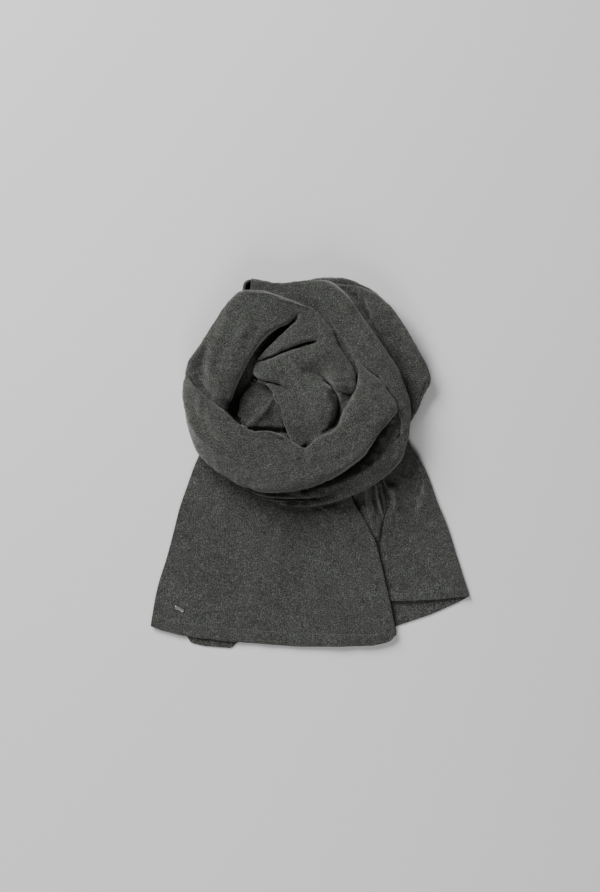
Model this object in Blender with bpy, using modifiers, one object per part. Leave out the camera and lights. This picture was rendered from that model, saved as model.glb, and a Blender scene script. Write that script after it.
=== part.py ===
"""A charcoal knitted shawl, folded lengthwise in two and laid flat as a wound ring with two tails.

Metres, +Z up. The floor is z = 0, the tails point to -Y and the ring lies at +Y. The origin is the
middle of the shawl's outline on the floor. Tables and named sizes are in millimetres and become
metres in grid_object().

The cloth is one long piece, 680 mm wide, folded along its length to 340 mm, so each stretch is two
layers of knit. Each stretch that shows is a surface lofted through the sections in its table, given
its thickness by a Solidify modifier, and laid on what is below it.
"""

import math
from collections import namedtuple

import bmesh
import bpy
import numpy as np
from mathutils import Matrix, Vector
from mathutils.bvhtree import BVHTree

MM = 0.001
NAME = "shawl"

# Cloth sizes in millimetres
LAYER = 2.0  # one layer of milled knit
BAND_WALL = 3.0  # two layers pressed together in a wound stretch
LAYER_GAP = 0.9  # air between a tail's two layers
FOLD_HEIGHT = 9.0  # a tail's soft lengthwise fold
HEM_BAND = 10.0  # the depth of the hem
HEM_RAISE = 0.8  # how far the hem stands out of the cloth
CLEARANCE = 0.5  # between a stretch and what it lies on
SAMPLE = 4.0  # the grid on which the pile's height is read
SPREAD = 5.0  # how far round a point the pile's height counts
TAIL_SPREAD = 9.0  # the same for the tails, whose points lie further apart
UNDER_SWEEP = math.radians(80)  # how far an edge rolls under
ROUNDNESS = 2.3  # of a section's arch; 2 is an ellipse
ROLLED_DROP = 6.0  # an edge that drops this far is fully rolled
LEAST_DROP = 3.5  # a smaller roll would be tighter than the cloth's own thickness
SELVEDGE_POWER = 0.9  # the slant of an edge that isn't rolled; 1 is a parabola
FOLD_REACH = 22.0  # how far a tail's fold keeps its layers apart

# Maker's plain trim: a small metal bar near the front tail's lower left corner
BAR_LENGTH = 14.0
BAR_WIDTH = 4.0
BAR_THICK = 1.4
BAR_GAP = 0.3
BAR_AT = (-180.0, -203.0)
BAR_TURN = math.radians(-28)

# A row of a wound stretch's table: the outer and the inner edge seen from above and their heights,
# the rise of the arch between them, and how far each edge drops as it rolls under
Section = namedtuple("Section", "out_x out_y out_z in_x in_y in_z crown out_drop in_drop")

# The band at the ring's back right, lowest of the loops, from the top round to the right
LOOP_BACK = (
    # out_x, out_y, out_z, in_x, in_y, in_z, crown, out_drop, in_drop
    (-34, 240, 7, -32, 222, 8, 3, 5, 5),
    (-12, 249, 9, -12, 220, 11, 6, 7, 6),
    (8, 254, 11, 2, 219, 15, 10, 9, 8),
    (30, 255, 13, 17, 215, 18, 13, 12, 10),
    (55, 252, 14, 33, 204, 20, 15, 13, 12),
    (80, 241, 15, 48, 188, 20, 16, 14, 12),
    (105, 221, 15, 62, 169, 20, 17, 14, 12),
    (125, 193, 15, 74, 149, 20, 17, 14, 12),
    (145, 162, 15, 87, 130, 20, 16, 14, 12),
    (161, 133, 14, 98, 112, 19, 15, 13, 11),
    (166, 113, 13, 105, 97, 18, 13, 12, 10),
    (157, 93, 12, 108, 81, 16, 11, 11, 9),
    (149, 74, 11, 108, 66, 14, 9, 10, 8),
    (138, 56, 10, 106, 52, 12, 7, 8, 6),
)

# The outer loop: from its open roll at the top left, down the right side and along the front
LOOP_OUTER = (
    # out_x, out_y, out_z, in_x, in_y, in_z, crown, out_drop, in_drop
    (-86, 253, 22, -92, 224, 24, 16, 18, 14),
    (-64, 251, 23, -62, 213, 26, 17, 20, 14),
    (-34, 248, 26, -33, 206, 28, 17, 18, 14),
    (0, 250, 31, -7, 196, 30, 18, 18, 14),
    (28, 250, 36, 11, 182, 31, 19, 18, 14),
    (50, 238, 40, 22, 166, 32, 20, 16, 14),
    (72, 213, 42, 32, 147, 32, 20, 14, 14),
    (91, 182, 42, 39, 130, 32, 20, 12, 14),
    (109, 151, 41, 44, 116, 32, 20, 12, 14),
    (124, 120, 39, 48, 101, 31, 20, 12, 14),
    (135, 88, 36, 60, 86, 29, 19, 12, 12),
    (139, 60, 32, 84, 70, 24, 17, 15, 10),
    (136, 36, 30, 98, 53, 18, 16, 16, 8),
    (125, 6, 29, 86, 31, 15, 16, 14, 6),
    (99, -22, 28, 64, 12, 14, 16, 11, 5),
    (63, -44, 27, 40, -6, 14, 15, 9, 5),
    (25, -57, 25, 14, -20, 14, 13, 9, 5),
    (-9, -60, 23, -9, -29, 15, 12, 10, 5),
    (-39, -56, 21, -34, -32, 15, 10, 9, 5),
    (-64, -48, 18, -54, -26, 15, 9, 8, 0),
    (-88, -38, 16, -76, -18, 14, 8, 6, 0),
    (-112, -26, 13, -98, -6, 13, 6, 0, 0),
)

# The inner loop: up the left side, over the top with its selvedge on the outer loop, and down
# through the middle of the ring, where the cloth fans out
LOOP_INNER = (
    # out_x, out_y, out_z, in_x, in_y, in_z, crown, out_drop, in_drop
    (-140, 62, 18, -100, 44, 25, 7, 8, 0),
    (-154, 86, 18, -109, 58, 29, 11, 12, 0),
    (-169, 111, 20, -112, 73, 31, 16, 17, 11),
    (-172, 133, 22, -106, 89, 34, 21, 20, 15),
    (-164, 155, 23, -98, 109, 36, 25, 22, 19),
    (-150, 177, 24, -88, 130, 38, 27, 23, 20),
    (-134, 199, 25, -78, 149, 38, 27, 24, 19),
    (-114, 218, 28, -66, 166, 39, 25, 20, 18),
    (-95, 234, 38, -50, 181, 40, 20, 10, 15),
    (-72, 236, 47, -33, 191, 42, 13, 2, 10),
    (-48, 231, 51, -23, 200, 45, 9, 0, 4),
    (-25, 222, 53, -18, 201, 47, 6, 0, 0),
    (-3, 213, 55, -17, 197, 48, 5, 0, 0),
    (14, 202, 57, -19, 190, 47, 6, 0, 2),
    (26, 185, 58, -28, 182, 45, 8, 0, 8),
    (37, 164, 58, -43, 171, 41, 10, 0, 12),
    (50, 145, 58, -58, 156, 37, 12, 0, 14),
    (59, 126, 57, -70, 140, 34, 13, 0, 13),
    (63, 104, 53, -75, 122, 32, 13, 1, 11),
    (61, 86, 46, -62, 98, 36, 12, 2, 8),
    (57, 66, 41, -48, 76, 37, 11, 3, 6),
    (50, 42, 37, -38, 52, 36, 9, 3, 5),
    (40, 18, 33, -30, 26, 32, 6, 3, 4),
    (30, -2, 30, -24, 4, 29, 4, 3, 4),
)

# The small lobe of cloth low in the ring's middle left
INNER_LOBE = (
    # out_x, out_y, out_z, in_x, in_y, in_z, crown, out_drop, in_drop
    (-66, 122, 22, -38, 110, 26, 4, 0, 0),
    (-81, 109, 20, -38, 93, 24, 8, 7, 5),
    (-92, 94, 21, -37, 75, 25, 10, 8, 5),
    (-98, 78, 21, -34, 59, 25, 11, 8, 5),
    (-96, 61, 20, -29, 42, 23, 9, 7, 0),
    (-85, 45, 19, -23, 31, 21, 6, 0, 0),
)

# The front loop, on top of the others: from the left side along the front to the right
LOOP_FRONT = (
    # out_x, out_y, out_z, in_x, in_y, in_z, crown, out_drop, in_drop
    (-174, 104, 22, -161, 118, 37, 5, 8, 0),
    (-175, 82, 24, -148, 101, 46, 8, 16, 0),
    (-171, 58, 24, -131, 84, 50, 13, 19, 0),
    (-164, 36, 25, -113, 70, 53, 17, 19, 6),
    (-154, 13, 26, -95, 54, 53, 20, 18, 10),
    (-136, -6, 29, -78, 43, 53, 22, 18, 12),
    (-113, -21, 31, -59, 42, 52, 24, 17, 13),
    (-85, -34, 34, -37, 36, 51, 25, 16, 14),
    (-52, -42, 37, -18, 25, 51, 26, 15, 13),
    (-17, -38, 40, -6, 21, 51, 26, 14, 11),
    (17, -27, 44, 11, 34, 52, 25, 13, 10),
    (48, -10, 45, 28, 42, 53, 24, 13, 8),
    (74, 9, 47, 39, 54, 54, 22, 12, 6),
    (96, 34, 51, 45, 70, 55, 19, 9, 5),
    (112, 59, 55, 54, 86, 56, 14, 8, 0),
    (117, 77, 53, 62, 103, 57, 10, 4, 0),
    (106, 98, 54, 66, 116, 59, 6, 0, 0),
    (90, 118, 57, 68, 128, 60, 2, 0, 0),
)

# A row of a tail's table: the soft fold on the right, the free edge of the layer on top, and the
# free edge of the layer underneath, all seen from above.
SIDE_TAIL = (
    # fold_x, fold_y, top_x, top_y, under_x, under_y
    (128, 55, 80, 30, 42, 20),
    (140, 22, 95, -8, 42, -14),
    (150, 8, 106, -34, 46, -40),
    (161, -13, 111, -52, 52, -62),
    (175, -52, 105, -74, 60, -92),
    (189, -86, 100, -108, 56, -128),
    (202, -127, 94, -142, 50, -164),
    (211, -155, 86, -168, 44, -198),
    (221, -185, 76, -191, 38, -236),
)

FRONT_TAIL = (
    # fold_x, fold_y, top_x, top_y, under_x, under_y
    (40, 18, -134, 34, -130, 34),
    (52, -24, -148, 18, -144, 18),
    (61, -54, -158, -2, -154, -3),
    (79, -86, -170, -35, -165, -36),
    (92, -113, -180, -64, -175, -66),
    (102, -140, -188, -96, -183, -98),
    (109, -166, -197, -130, -191, -133),
    (116, -196, -210, -172, -204, -176),
    (121, -238, -220, -226, -212, -230),
)

# How far a hem reaches below the straight line between its ends: across is 0 at the fold and 1 at
# the free edge
SIDE_HEM = (
    # across, top_sag, under_sag
    (0.0, 0, 0),
    (0.1, 0, 3),
    (0.3, 2, 8),
    (0.6, 2, 10),
    (1.0, 0, 0),
)

FRONT_HEM = (
    # across, top_sag, under_sag
    (0.0, 0, 0),
    (0.02, 8, 4),
    (0.05, 12, 7),
    (0.1, 16, 11),
    (0.23, 19, 14),
    (0.4, 21, 16),
    (0.55, 19, 15),
    (0.66, 17.5, 15),
    (0.69, 17, 24),
    (0.8, 14, 22),
    (0.86, 12, 18),
    (0.88, 11, 6),
    (0.96, 5, 0),
    (1.0, 0, 0),
)

# The gathered cloth between the tails, which runs out in a point
TAIL_GATHER = (
    # left_x, left_y, right_x, right_y
    (54, -6, 88, 0),
    (58, -42, 103, -42),
    (66, -66, 104, -66),
    (76, -88, 98, -88),
    (86, -108, 95, -108),
)
PLEATS = 3
PLEAT_RISE = 5.0
GATHER_HEIGHT = LAYER + 0.4

# A row for each fold: a bend through three points seen from above, its width, and its depth
# (a ridge has a negative depth)
Fold = namedtuple("Fold", "x0 y0 x1 y1 x2 y2 width depth")

FOLDS = {
    "loop_inner": (
        (-74, 141, -36, 154, 8, 164, 11, 6),
        (-2, 126, 22, 112, 34, 88, 13, 9),
        (34, 92, 39, 72, 34, 50, 14, 12),
        (-78, 116, -54, 112, -32, 102, 10, 3),
        (-58, 98, -52, 92, -44, 84, 10, 4),
        (-158, 142, -153, 126, -150, 112, 20, 7),
        (-40, 150, -10, 140, 20, 150, 18, -4),
    ),
    "loop_outer": (
        (44, 246, 66, 226, 82, 198, 14, 4),
        (136, 30, 90, -8, 30, -34, 12, -3),
    ),
    "loop_front": (
        (-158, 60, -140, 20, -104, 0, 20, -3),
        (-96, 40, -50, 4, 10, 6, 26, 3),
        (-150, 40, -128, 8, -92, -14, 12, 3),
        (40, 20, 66, 36, 80, 62, 16, 3),
    ),
    "loop_back": (
        (52, 240, 76, 222, 92, 196, 14, 6),
        (70, 236, 110, 200, 142, 140, 18, -3),
    ),
    "inner_lobe": ((-50, 94, -62, 74, -84, 52, 12, -5),),
    "front_tail": (
        (12, -62, 22, -70, 44, -86, 12, 2),
        (-52, -70, -58, -120, -54, -170, 22, -3),
        (6, -70, 4, -120, 16, -190, 24, 2),
        (52, -72, 74, -120, 84, -170, 18, -2),
        (-120, -20, -128, -90, -150, -180, 26, 2),
    ),
    "side_tail": (
        (141, -20, 132, -52, 118, -92, 15, 4),
        (160, -30, 158, -80, 170, -140, 18, -3),
    ),
}

# The hidden layers under the loops: one rounded solid with its edge in layers
HIDDEN_MIDDLE = (-18.0, 125.0)
HIDDEN_RADII = (100.0, 83.0)
HIDDEN_SQUARENESS = 3.2  # of the outline from above; 2 is an ellipse
HIDDEN_LAYERS = 3
HIDDEN_LAYER_HEIGHT = 4.2
HIDDEN_STEP = 5.0  # how far each layer's edge stands out past the one above
HIDDEN_RISE = 7.0  # of the middle over the layered edge
HIDDEN_SIDES = 44
HIDDEN_LEAST_ROOM = 6.0  # under the loops, for the layered edge

# Colours (linear) and surface values
CHARCOAL = (0.052, 0.053, 0.050, 1.0)
STEEL = (0.55, 0.55, 0.56, 1.0)


def clear_scene():
    """Removes the objects that are in the scene."""
    for thing in list(bpy.data.objects):
        bpy.data.objects.remove(thing, do_unlink=True)


def material(name, colour, roughness, metallic):
    """A Principled material with one colour."""
    made = bpy.data.materials.new(name)
    made.use_nodes = True
    shader = made.node_tree.nodes["Principled BSDF"]
    shader.inputs["Base Color"].default_value = colour
    shader.inputs["Roughness"].default_value = roughness
    shader.inputs["Metallic"].default_value = metallic
    made.diffuse_color = colour
    return made


def smooth_rows(table, places):
    """Rows at places (0 to 1) along a smooth curve through a table's rows."""
    rows = np.array(table, float)
    middle = (rows[:, 0:2] + rows[:, 3:5]) / 2 if rows.shape[1] > 6 else rows[:, 0:2]
    steps = np.linalg.norm(np.diff(middle, axis=0), axis=1) + 4
    along = np.concatenate([[0], np.cumsum(steps)])
    slope = np.gradient(rows, along, axis=0)
    found = []
    for place in np.array(places) * along[-1]:
        i = min(int(np.searchsorted(along, place, side="right")) - 1, len(rows) - 2)
        step = along[i + 1] - along[i]
        t = (place - along[i]) / step
        found.append(
            rows[i] * (2 * t**3 - 3 * t**2 + 1)
            + rows[i + 1] * (3 * t**2 - 2 * t**3)
            + slope[i] * step * (t**3 - 2 * t**2 + t)
            + slope[i + 1] * step * (t**3 - t**2)
        )
    return np.array(found)


def even_points(line, count):
    """Points spaced evenly along a line."""
    along = np.concatenate([[0], np.cumsum(np.linalg.norm(np.diff(line, axis=0), axis=1))])
    places = np.linspace(0, along[-1], count)
    return np.stack([np.interp(places, along, line[:, k]) for k in range(line.shape[1])], axis=1)


def rolled_edge(height, drop):
    """An edge that rolls under, from its lowest point up: how far in it is, and its height.

    The turn is wide enough for the cloth's inner face not to cross itself."""
    drop = drop if drop > LEAST_DROP else 0.0
    turn = math.sqrt(1.3 * BAND_WALL * drop)
    sweep = np.linspace(UNDER_SWEEP, 0, 12, endpoint=False)
    return np.stack([turn * (1 - np.cos(sweep)), height - drop * np.sin(sweep)], axis=1)


def section_line(values, count):
    """One section of a wound stretch: rolled under at the outer edge, arched, rolled under again.

    An edge that doesn't roll under is a selvedge, and the arch comes down to it at a slant."""
    row = Section(*values)
    across = np.array([row.in_x - row.out_x, row.in_y - row.out_y])
    width = np.linalg.norm(across)
    share = -np.cos(np.linspace(0, math.pi, 40))
    place = (1 + share) / 2
    drops = row.out_drop + (row.in_drop - row.out_drop) * place
    rolled = np.clip(drops / ROLLED_DROP, 0, 1)
    power = SELVEDGE_POWER + (1 / ROUNDNESS - SELVEDGE_POWER) * rolled
    rise = np.clip(1 - np.abs(share) ** ROUNDNESS, 0, 1) ** power
    arch = np.stack([width * place, row.out_z + (row.in_z - row.out_z) * place + row.crown * rise], 1)
    outer = rolled_edge(row.out_z, row.out_drop)
    inner = rolled_edge(row.in_z, row.in_drop)[::-1]
    inner[:, 0] = width - inner[:, 0]
    line = even_points(np.concatenate([outer, arch, inner]), count)
    ahead = across / width
    return np.stack([row.out_x + ahead[0] * line[:, 0], row.out_y + ahead[1] * line[:, 0], line[:, 1]], 1)


def wound_surface(table, stations, points):
    """The grid of points of a wound stretch."""
    rows = smooth_rows(table, np.linspace(0, 1, stations))
    return np.array([section_line(values, points) for values in rows])


def facing(grid, column):
    """1 if the grid's own normals face up along a column of the cloth's top, and -1 if down."""
    found = np.cross(np.gradient(grid, axis=0), np.gradient(grid, axis=1))
    return 1 if found[:, column, 2].mean() > 0 else -1


def normals_of(grid, column):
    """The unit normal at each point of a grid, facing out of the cloth."""
    found = np.cross(np.gradient(grid, axis=0), np.gradient(grid, axis=1))
    return facing(grid, column) * found / np.maximum(np.linalg.norm(found, axis=2, keepdims=True), 1e-9)


def bend_points(row, count=24):
    """Points along a fold's bend."""
    t = np.linspace(0, 1, count)[:, None]
    a, b, c = (np.array(pair, float) for pair in ((row.x0, row.y0), (row.x1, row.y1), (row.x2, row.y2)))
    middle = 2 * b - (a + c) / 2
    return a * (1 - t) ** 2 + middle * 2 * t * (1 - t) + c * t**2


def fold_depth(grid, rows):
    """How far the folds press each point of a grid down."""
    total = np.zeros(grid.shape[:2])
    for values in rows:
        row = Fold(*values)
        line = bend_points(row)
        off = np.linalg.norm(grid[:, :, None, :2] - line[None, None], axis=3)
        nearest = off.argmin(axis=2)
        share = nearest / (len(line) - 1)
        fade = np.sin(math.pi * np.clip(0.12 + 0.76 * share, 0, 1)) ** 0.6
        total += row.depth * fade * np.exp(-((off.min(axis=2) / (row.width / 2)) ** 2))
    return total


class Pile:
    """The height of the cloth laid so far, read on a grid over the floor."""

    def __init__(self):
        """Starts with the bare floor."""
        self.xs = np.arange(-240, 240 + SAMPLE, SAMPLE)
        self.ys = np.arange(-280, 280 + SAMPLE, SAMPLE)
        self.height = np.zeros((len(self.xs), len(self.ys)))

    def add(self, grid, spread=SPREAD):
        """Lays a surface on the pile; its height counts for a little way round each point."""
        rows, columns = grid.shape[:2]
        faces = [
            (i * columns + j, (i + 1) * columns + j, (i + 1) * columns + j + 1, i * columns + j + 1)
            for i in range(rows - 1)
            for j in range(columns - 1)
        ]
        tree = BVHTree.FromPolygons([Vector(p) for p in grid.reshape(-1, 3)], faces)
        down = Vector((0, 0, -1))
        found = np.zeros_like(self.height)
        for i, x in enumerate(self.xs):
            for j, y in enumerate(self.ys):
                hit = tree.ray_cast(Vector((x, y, 500)), down)[0]
                found[i, j] = hit.z if hit else 0
        reach = int(math.ceil(spread / SAMPLE))
        wide = found.copy()
        for i in range(-reach, reach + 1):
            for j in range(-reach, reach + 1):
                if math.hypot(i, j) * SAMPLE <= spread:
                    wide = np.maximum(wide, np.roll(np.roll(found, i, axis=0), j, axis=1))
        self.height = np.maximum(self.height, wide)

    def at(self, x, y):
        """The pile's height at each place."""
        u = np.clip((x - self.xs[0]) / SAMPLE, 0, len(self.xs) - 1.001)
        v = np.clip((y - self.ys[0]) / SAMPLE, 0, len(self.ys) - 1.001)
        i, j = u.astype(int), v.astype(int)
        s, t = u - i, v - j
        h = self.height
        low = h[i, j] * (1 - s) + h[i + 1, j] * s
        high = h[i, j + 1] * (1 - s) + h[i + 1, j + 1] * s
        return low * (1 - t) + high * t


def soften(field, rounds):
    """A field spread to its neighbours, never below what it was."""
    for _ in range(rounds):
        padded = np.pad(field, 1, mode="edge")
        blur = (padded[:-2, 1:-1] + padded[2:, 1:-1] + padded[1:-1, :-2] + padded[1:-1, 2:]) / 4
        field = np.maximum(field, blur)
    return field


def widened(field):
    """A field spread whole to each neighbour."""
    padded = np.pad(field, 1, mode="edge")
    rows, columns = field.shape
    return np.max([padded[i : i + rows, j : j + columns] for i in range(3) for j in range(3)], axis=0)


def laid(grid, pile, wall):
    """A surface lifted where it would sink into the cloth below it."""
    up = np.clip(normals_of(grid, grid.shape[1] // 2)[:, :, 2], 0, 1)
    below = pile.at(grid[:, :, 0], grid[:, :, 1])
    lift = np.clip(below + CLEARANCE + wall * up - grid[:, :, 2], 0, None)
    raised = grid.copy()
    raised[:, :, 2] += soften(lift, 5)
    return raised


def grid_object(name, grid, wall, column, look, collection):
    """A cloth object: the grid as an open surface, in metres, with Solidify for its thickness."""
    rows, columns = grid.shape[:2]
    turned = facing(grid, column) < 0
    faces = []
    for i in range(rows - 1):
        for j in range(columns - 1):
            corner = i * columns + j
            face = (corner, corner + columns, corner + columns + 1, corner + 1)
            faces.append(face[::-1] if turned else face)
    mesh = bpy.data.meshes.new(name)
    mesh.from_pydata([tuple(p) for p in (grid.reshape(-1, 3) * MM)], [], faces)
    mesh.shade_smooth()
    mesh.materials.append(look)
    made = bpy.data.objects.new(name, mesh)
    collection.objects.link(made)
    solid = made.modifiers.new("cloth", "SOLIDIFY")
    solid.thickness = wall * MM
    solid.offset = -1
    return made


def wound(name, table, stations, points, pile, look, collection):
    """Lays one wound stretch on the pile and makes its object."""
    grid = wound_surface(table, stations, points)
    up = np.clip(normals_of(grid, points // 2)[:, :, 2], 0, 1)
    grid[:, :, 2] -= fold_depth(grid, FOLDS.get(name, ())) * up
    grid = laid(grid, pile, BAND_WALL)
    pile.add(grid)
    return grid_object(name, grid, BAND_WALL, points // 2, look, collection)


def tail(name, table, hem, stations, points, pile, look, collection):
    """Lays one folded tail: the layer underneath, the soft fold, and the layer on top."""
    rough = np.array(table, float)
    length = np.linalg.norm(np.diff(rough[:, 0:2], axis=0), axis=1).sum()
    band = HEM_BAND / length
    places = np.append(np.linspace(0, 1 - 1.15 * band, stations - 2), [1 - band, 1])
    rows = smooth_rows(table, places)
    across = np.linspace(0, 1, points)
    sags = np.array(hem, float)
    pull = (places**6)[:, None]
    layers = []
    for k in (1, 2):
        line = rows[:, None, 0:2] + (rows[:, None, 2 * k:2 * k + 2] - rows[:, None, 0:2]) * across[:, None]
        line[:, :, 1] -= np.interp(across, sags[:, 0], sags[:, k]) * pull
        layers.append(line)
    top, under = layers
    thick = 2 * LAYER + LAYER_GAP
    from_fold = np.linalg.norm(top - top[:, :1], axis=2)
    height = thick + (FOLD_HEIGHT - thick) * np.exp(-from_fold / FOLD_REACH)
    height += HEM_RAISE * (places > 1 - 1.05 * band)[:, None]
    radius = FOLD_HEIGHT / 2
    outward = top[:, 0] - (top[:, -1] + under[:, -1]) / 2
    outward /= np.linalg.norm(outward, axis=1, keepdims=True)
    turns = np.linspace(-math.pi / 2, math.pi / 2, 7)[1:-1]
    bend = [
        np.column_stack([top[:, 0] - outward * radius * (1 - math.cos(turn)), np.full(stations, radius)])
        + np.array([0, 0, radius * math.sin(turn)])
        for turn in turns
    ]
    low = np.dstack([under, np.zeros(under.shape[:2])])[:, :0:-1]
    high = np.dstack([top, height])[:, 1:]
    high[:, :, 2] = np.maximum(high[:, :, 2] - fold_depth(high, FOLDS.get(name, ())), thick)
    grid = np.concatenate([low, np.stack(bend, axis=1), high], axis=1)
    below = pile.at(grid[:, :, 0], grid[:, :, 1])
    lift = soften(widened(np.where(below > 0.1, below + CLEARANCE, 0)), 2)
    grid[:, :, 2] += lift
    pile.add(grid, TAIL_SPREAD)
    shown_low = low.copy()
    shown_low[:, :, 2] = grid[:, : low.shape[1], 2] + LAYER
    pile.add(shown_low, TAIL_SPREAD)
    return grid_object(name, grid, LAYER, grid.shape[1] - 2, look, collection)


def gather(name, table, stations, points, pile, look, collection):
    """Lays the pleated cloth between the tails."""
    rows = smooth_rows(table, np.linspace(0, 1, stations))
    across = np.linspace(0, 1, points)
    flat = rows[:, None, 0:2] + (rows[:, None, 2:4] - rows[:, None, 0:2]) * across[:, None]
    wave = np.abs(np.sin(math.pi * PLEATS * across)) ** 0.8
    fade = np.linspace(1, 0.1, stations)[:, None]
    grid = np.dstack([flat, GATHER_HEIGHT + LAYER + PLEAT_RISE * wave * fade])
    grid = laid(grid, pile, LAYER)
    pile.add(grid)
    return grid_object(name, grid, LAYER, points // 2, look, collection)


def ceiling(trees, x, y):
    """The lowest underside of the cloth over and round a place."""
    found = 200.0
    for reach, count in ((0, 1), (4, 8), (8, 12), (12, 12)):
        for k in range(count):
            turn = 2 * math.pi * k / count
            place = Vector((x + reach * math.cos(turn), y + reach * math.sin(turn), -1))
            for tree in trees:
                hit = tree.ray_cast(place, Vector((0, 0, 1)))[0]
                if hit:
                    found = min(found, hit.z)
    return found


def room_at(trees, turn, radius):
    """The height that the cloth above leaves free at a place round the hidden layers' middle."""
    x = HIDDEN_MIDDLE[0] + radius * math.cos(turn)
    y = HIDDEN_MIDDLE[1] + radius * math.sin(turn)
    return ceiling(trees, x, y) - 1.5 * CLEARANCE


def hidden_reaches(trees, turns):
    """How far out the hidden layers go in each direction: an oval, drawn in where the loops dip."""
    reaches = []
    for turn in turns:
        shares = (abs(math.cos(turn)) / HIDDEN_RADII[0], abs(math.sin(turn)) / HIDDEN_RADII[1])
        reach = sum(share**HIDDEN_SQUARENESS for share in shares) ** (-1 / HIDDEN_SQUARENESS)
        while reach > 40 and room_at(trees, turn, reach) < HIDDEN_LEAST_ROOM:
            reach -= 2
        reaches.append(reach)
    least = np.minimum.reduce([np.roll(reaches, k) for k in (-1, 0, 1)])
    return (np.roll(least, -1) + least + np.roll(least, 1)) / 3


def hidden_layers(name, covers, look, collection):
    """The layers that don't show, as one rounded solid with a flat underside and a layered edge."""
    bpy.context.view_layer.update()
    depsgraph = bpy.context.evaluated_depsgraph_get()
    trees = []
    for cover in covers:
        shape = cover.evaluated_get(depsgraph).to_mesh()
        corners = [v.co / MM for v in shape.vertices]
        trees.append(BVHTree.FromPolygons(corners, [tuple(p.vertices) for p in shape.polygons]))
        cover.evaluated_get(depsgraph).to_mesh_clear()
    turns = [2 * math.pi * side / HIDDEN_SIDES for side in range(HIDDEN_SIDES)]
    edge = HIDDEN_LAYERS * HIDDEN_LAYER_HEIGHT
    inner = HIDDEN_STEP * HIDDEN_LAYERS
    shape = bmesh.new()
    columns = []
    for turn, reach in zip(turns, hidden_reaches(trees, turns), strict=True):
        least = min(room_at(trees, turn, reach - inset) for inset in (0, inner / 2, inner))
        squash = min(1.0, least / edge)
        line = []
        for k in range(HIDDEN_LAYERS):
            low = k * HIDDEN_LAYER_HEIGHT * squash
            tall = HIDDEN_LAYER_HEIGHT * squash
            line.append((reach - HIDDEN_STEP * k - 1.2, low + (0.1 * tall if k else 0)))
            line.append((reach - HIDDEN_STEP * k, low + 0.4 * tall))
            line.append((reach - HIDDEN_STEP * k - 1.0, low + 0.9 * tall))
        for share in (0.9, 0.75, 0.6, 0.45, 0.3, 0.15):
            radius = (reach - inner) * share
            height = edge * squash + HIDDEN_RISE * (1 - share**2)
            line.append((radius, min(height, room_at(trees, turn, radius))))
        places = [(r * math.cos(turn), r * math.sin(turn), z) for r, z in line]
        columns.append([shape.verts.new(Vector(p) * MM) for p in places])
    top = shape.verts.new((0, 0, sum(column[-1].co.z for column in columns) / HIDDEN_SIDES))
    for k, column in enumerate(columns):
        following = columns[(k + 1) % HIDDEN_SIDES]
        for i in range(len(column) - 1):
            shape.faces.new((column[i], following[i], following[i + 1], column[i + 1]))
        shape.faces.new((column[-1], following[-1], top))
    shape.faces.new([column[0] for column in reversed(columns)])
    mesh = bpy.data.meshes.new(name)
    shape.to_mesh(mesh)
    shape.free()
    mesh.materials.append(look)
    made = bpy.data.objects.new(name, mesh)
    made.location = Vector((*HIDDEN_MIDDLE, 0)) * MM
    collection.objects.link(made)
    return made


def trim_bar(name, pile, look, collection):
    """The small plain bar that is sewn on the front tail."""
    under = float(pile.at(np.array(BAR_AT[0]), np.array(BAR_AT[1])))
    bpy.ops.mesh.primitive_cube_add(size=1)
    made = bpy.context.object
    made.name = name
    made.data.transform(Matrix.Diagonal((BAR_LENGTH * MM, BAR_WIDTH * MM, BAR_THICK * MM, 1)))
    made.location = Vector((BAR_AT[0], BAR_AT[1], under + BAR_GAP + BAR_THICK / 2)) * MM
    made.rotation_euler.z = BAR_TURN
    bevel = made.modifiers.new("rounded", "BEVEL")
    bevel.width = 0.4 * MM
    bevel.segments = 2
    made.data.materials.append(look)
    for holder in list(made.users_collection):
        holder.objects.unlink(made)
    collection.objects.link(made)
    return made


def centre(parts):
    """Moves the shawl so that its outline's middle is at the origin."""
    bpy.context.view_layer.update()
    depsgraph = bpy.context.evaluated_depsgraph_get()
    low = np.full(3, np.inf)
    high = np.full(3, -np.inf)
    for part in parts:
        shown = part.evaluated_get(depsgraph)
        shape = shown.to_mesh()
        places = np.array([tuple(shown.matrix_world @ v.co) for v in shape.vertices])
        low = np.minimum(low, places.min(axis=0))
        high = np.maximum(high, places.max(axis=0))
        shown.to_mesh_clear()
    middle = (low + high) / 2
    for part in parts:
        part.location -= Vector((middle[0], middle[1], low[2]))


def main():
    """Builds the shawl."""
    clear_scene()
    parts = bpy.data.collections.new(NAME)
    bpy.context.scene.collection.children.link(parts)
    knit = material("charcoal_milled_knit", CHARCOAL, 0.92, 0.0)
    steel = material("brushed_steel", STEEL, 0.3, 1.0)
    pile = Pile()
    made = [
        tail("side_tail", SIDE_TAIL, SIDE_HEM, 12, 9, pile, knit, parts),
        gather("tail_gather", TAIL_GATHER, 8, 13, pile, knit, parts),
        tail("front_tail", FRONT_TAIL, FRONT_HEM, 13, 22, pile, knit, parts),
    ]
    bar = trim_bar("trim_bar", pile, steel, parts)
    loops = [
        wound("loop_back", LOOP_BACK, 20, 11, pile, knit, parts),
        wound("loop_outer", LOOP_OUTER, 42, 12, pile, knit, parts),
        wound("inner_lobe", INNER_LOBE, 9, 10, pile, knit, parts),
        wound("loop_inner", LOOP_INNER, 42, 15, pile, knit, parts),
        wound("loop_front", LOOP_FRONT, 38, 13, pile, knit, parts),
    ]
    core = hidden_layers("hidden_layers", loops, knit, parts)
    centre([*made, bar, *loops, core])


main()
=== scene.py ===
"""Looks of a charcoal knitted shawl, folded lengthwise, wound into a ring and laid flat.

Tables and named sizes are in millimetres, seen from above: x to the right, y towards the top of the
ring and z up from the floor. Meshes are in metres.
"""

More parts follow.
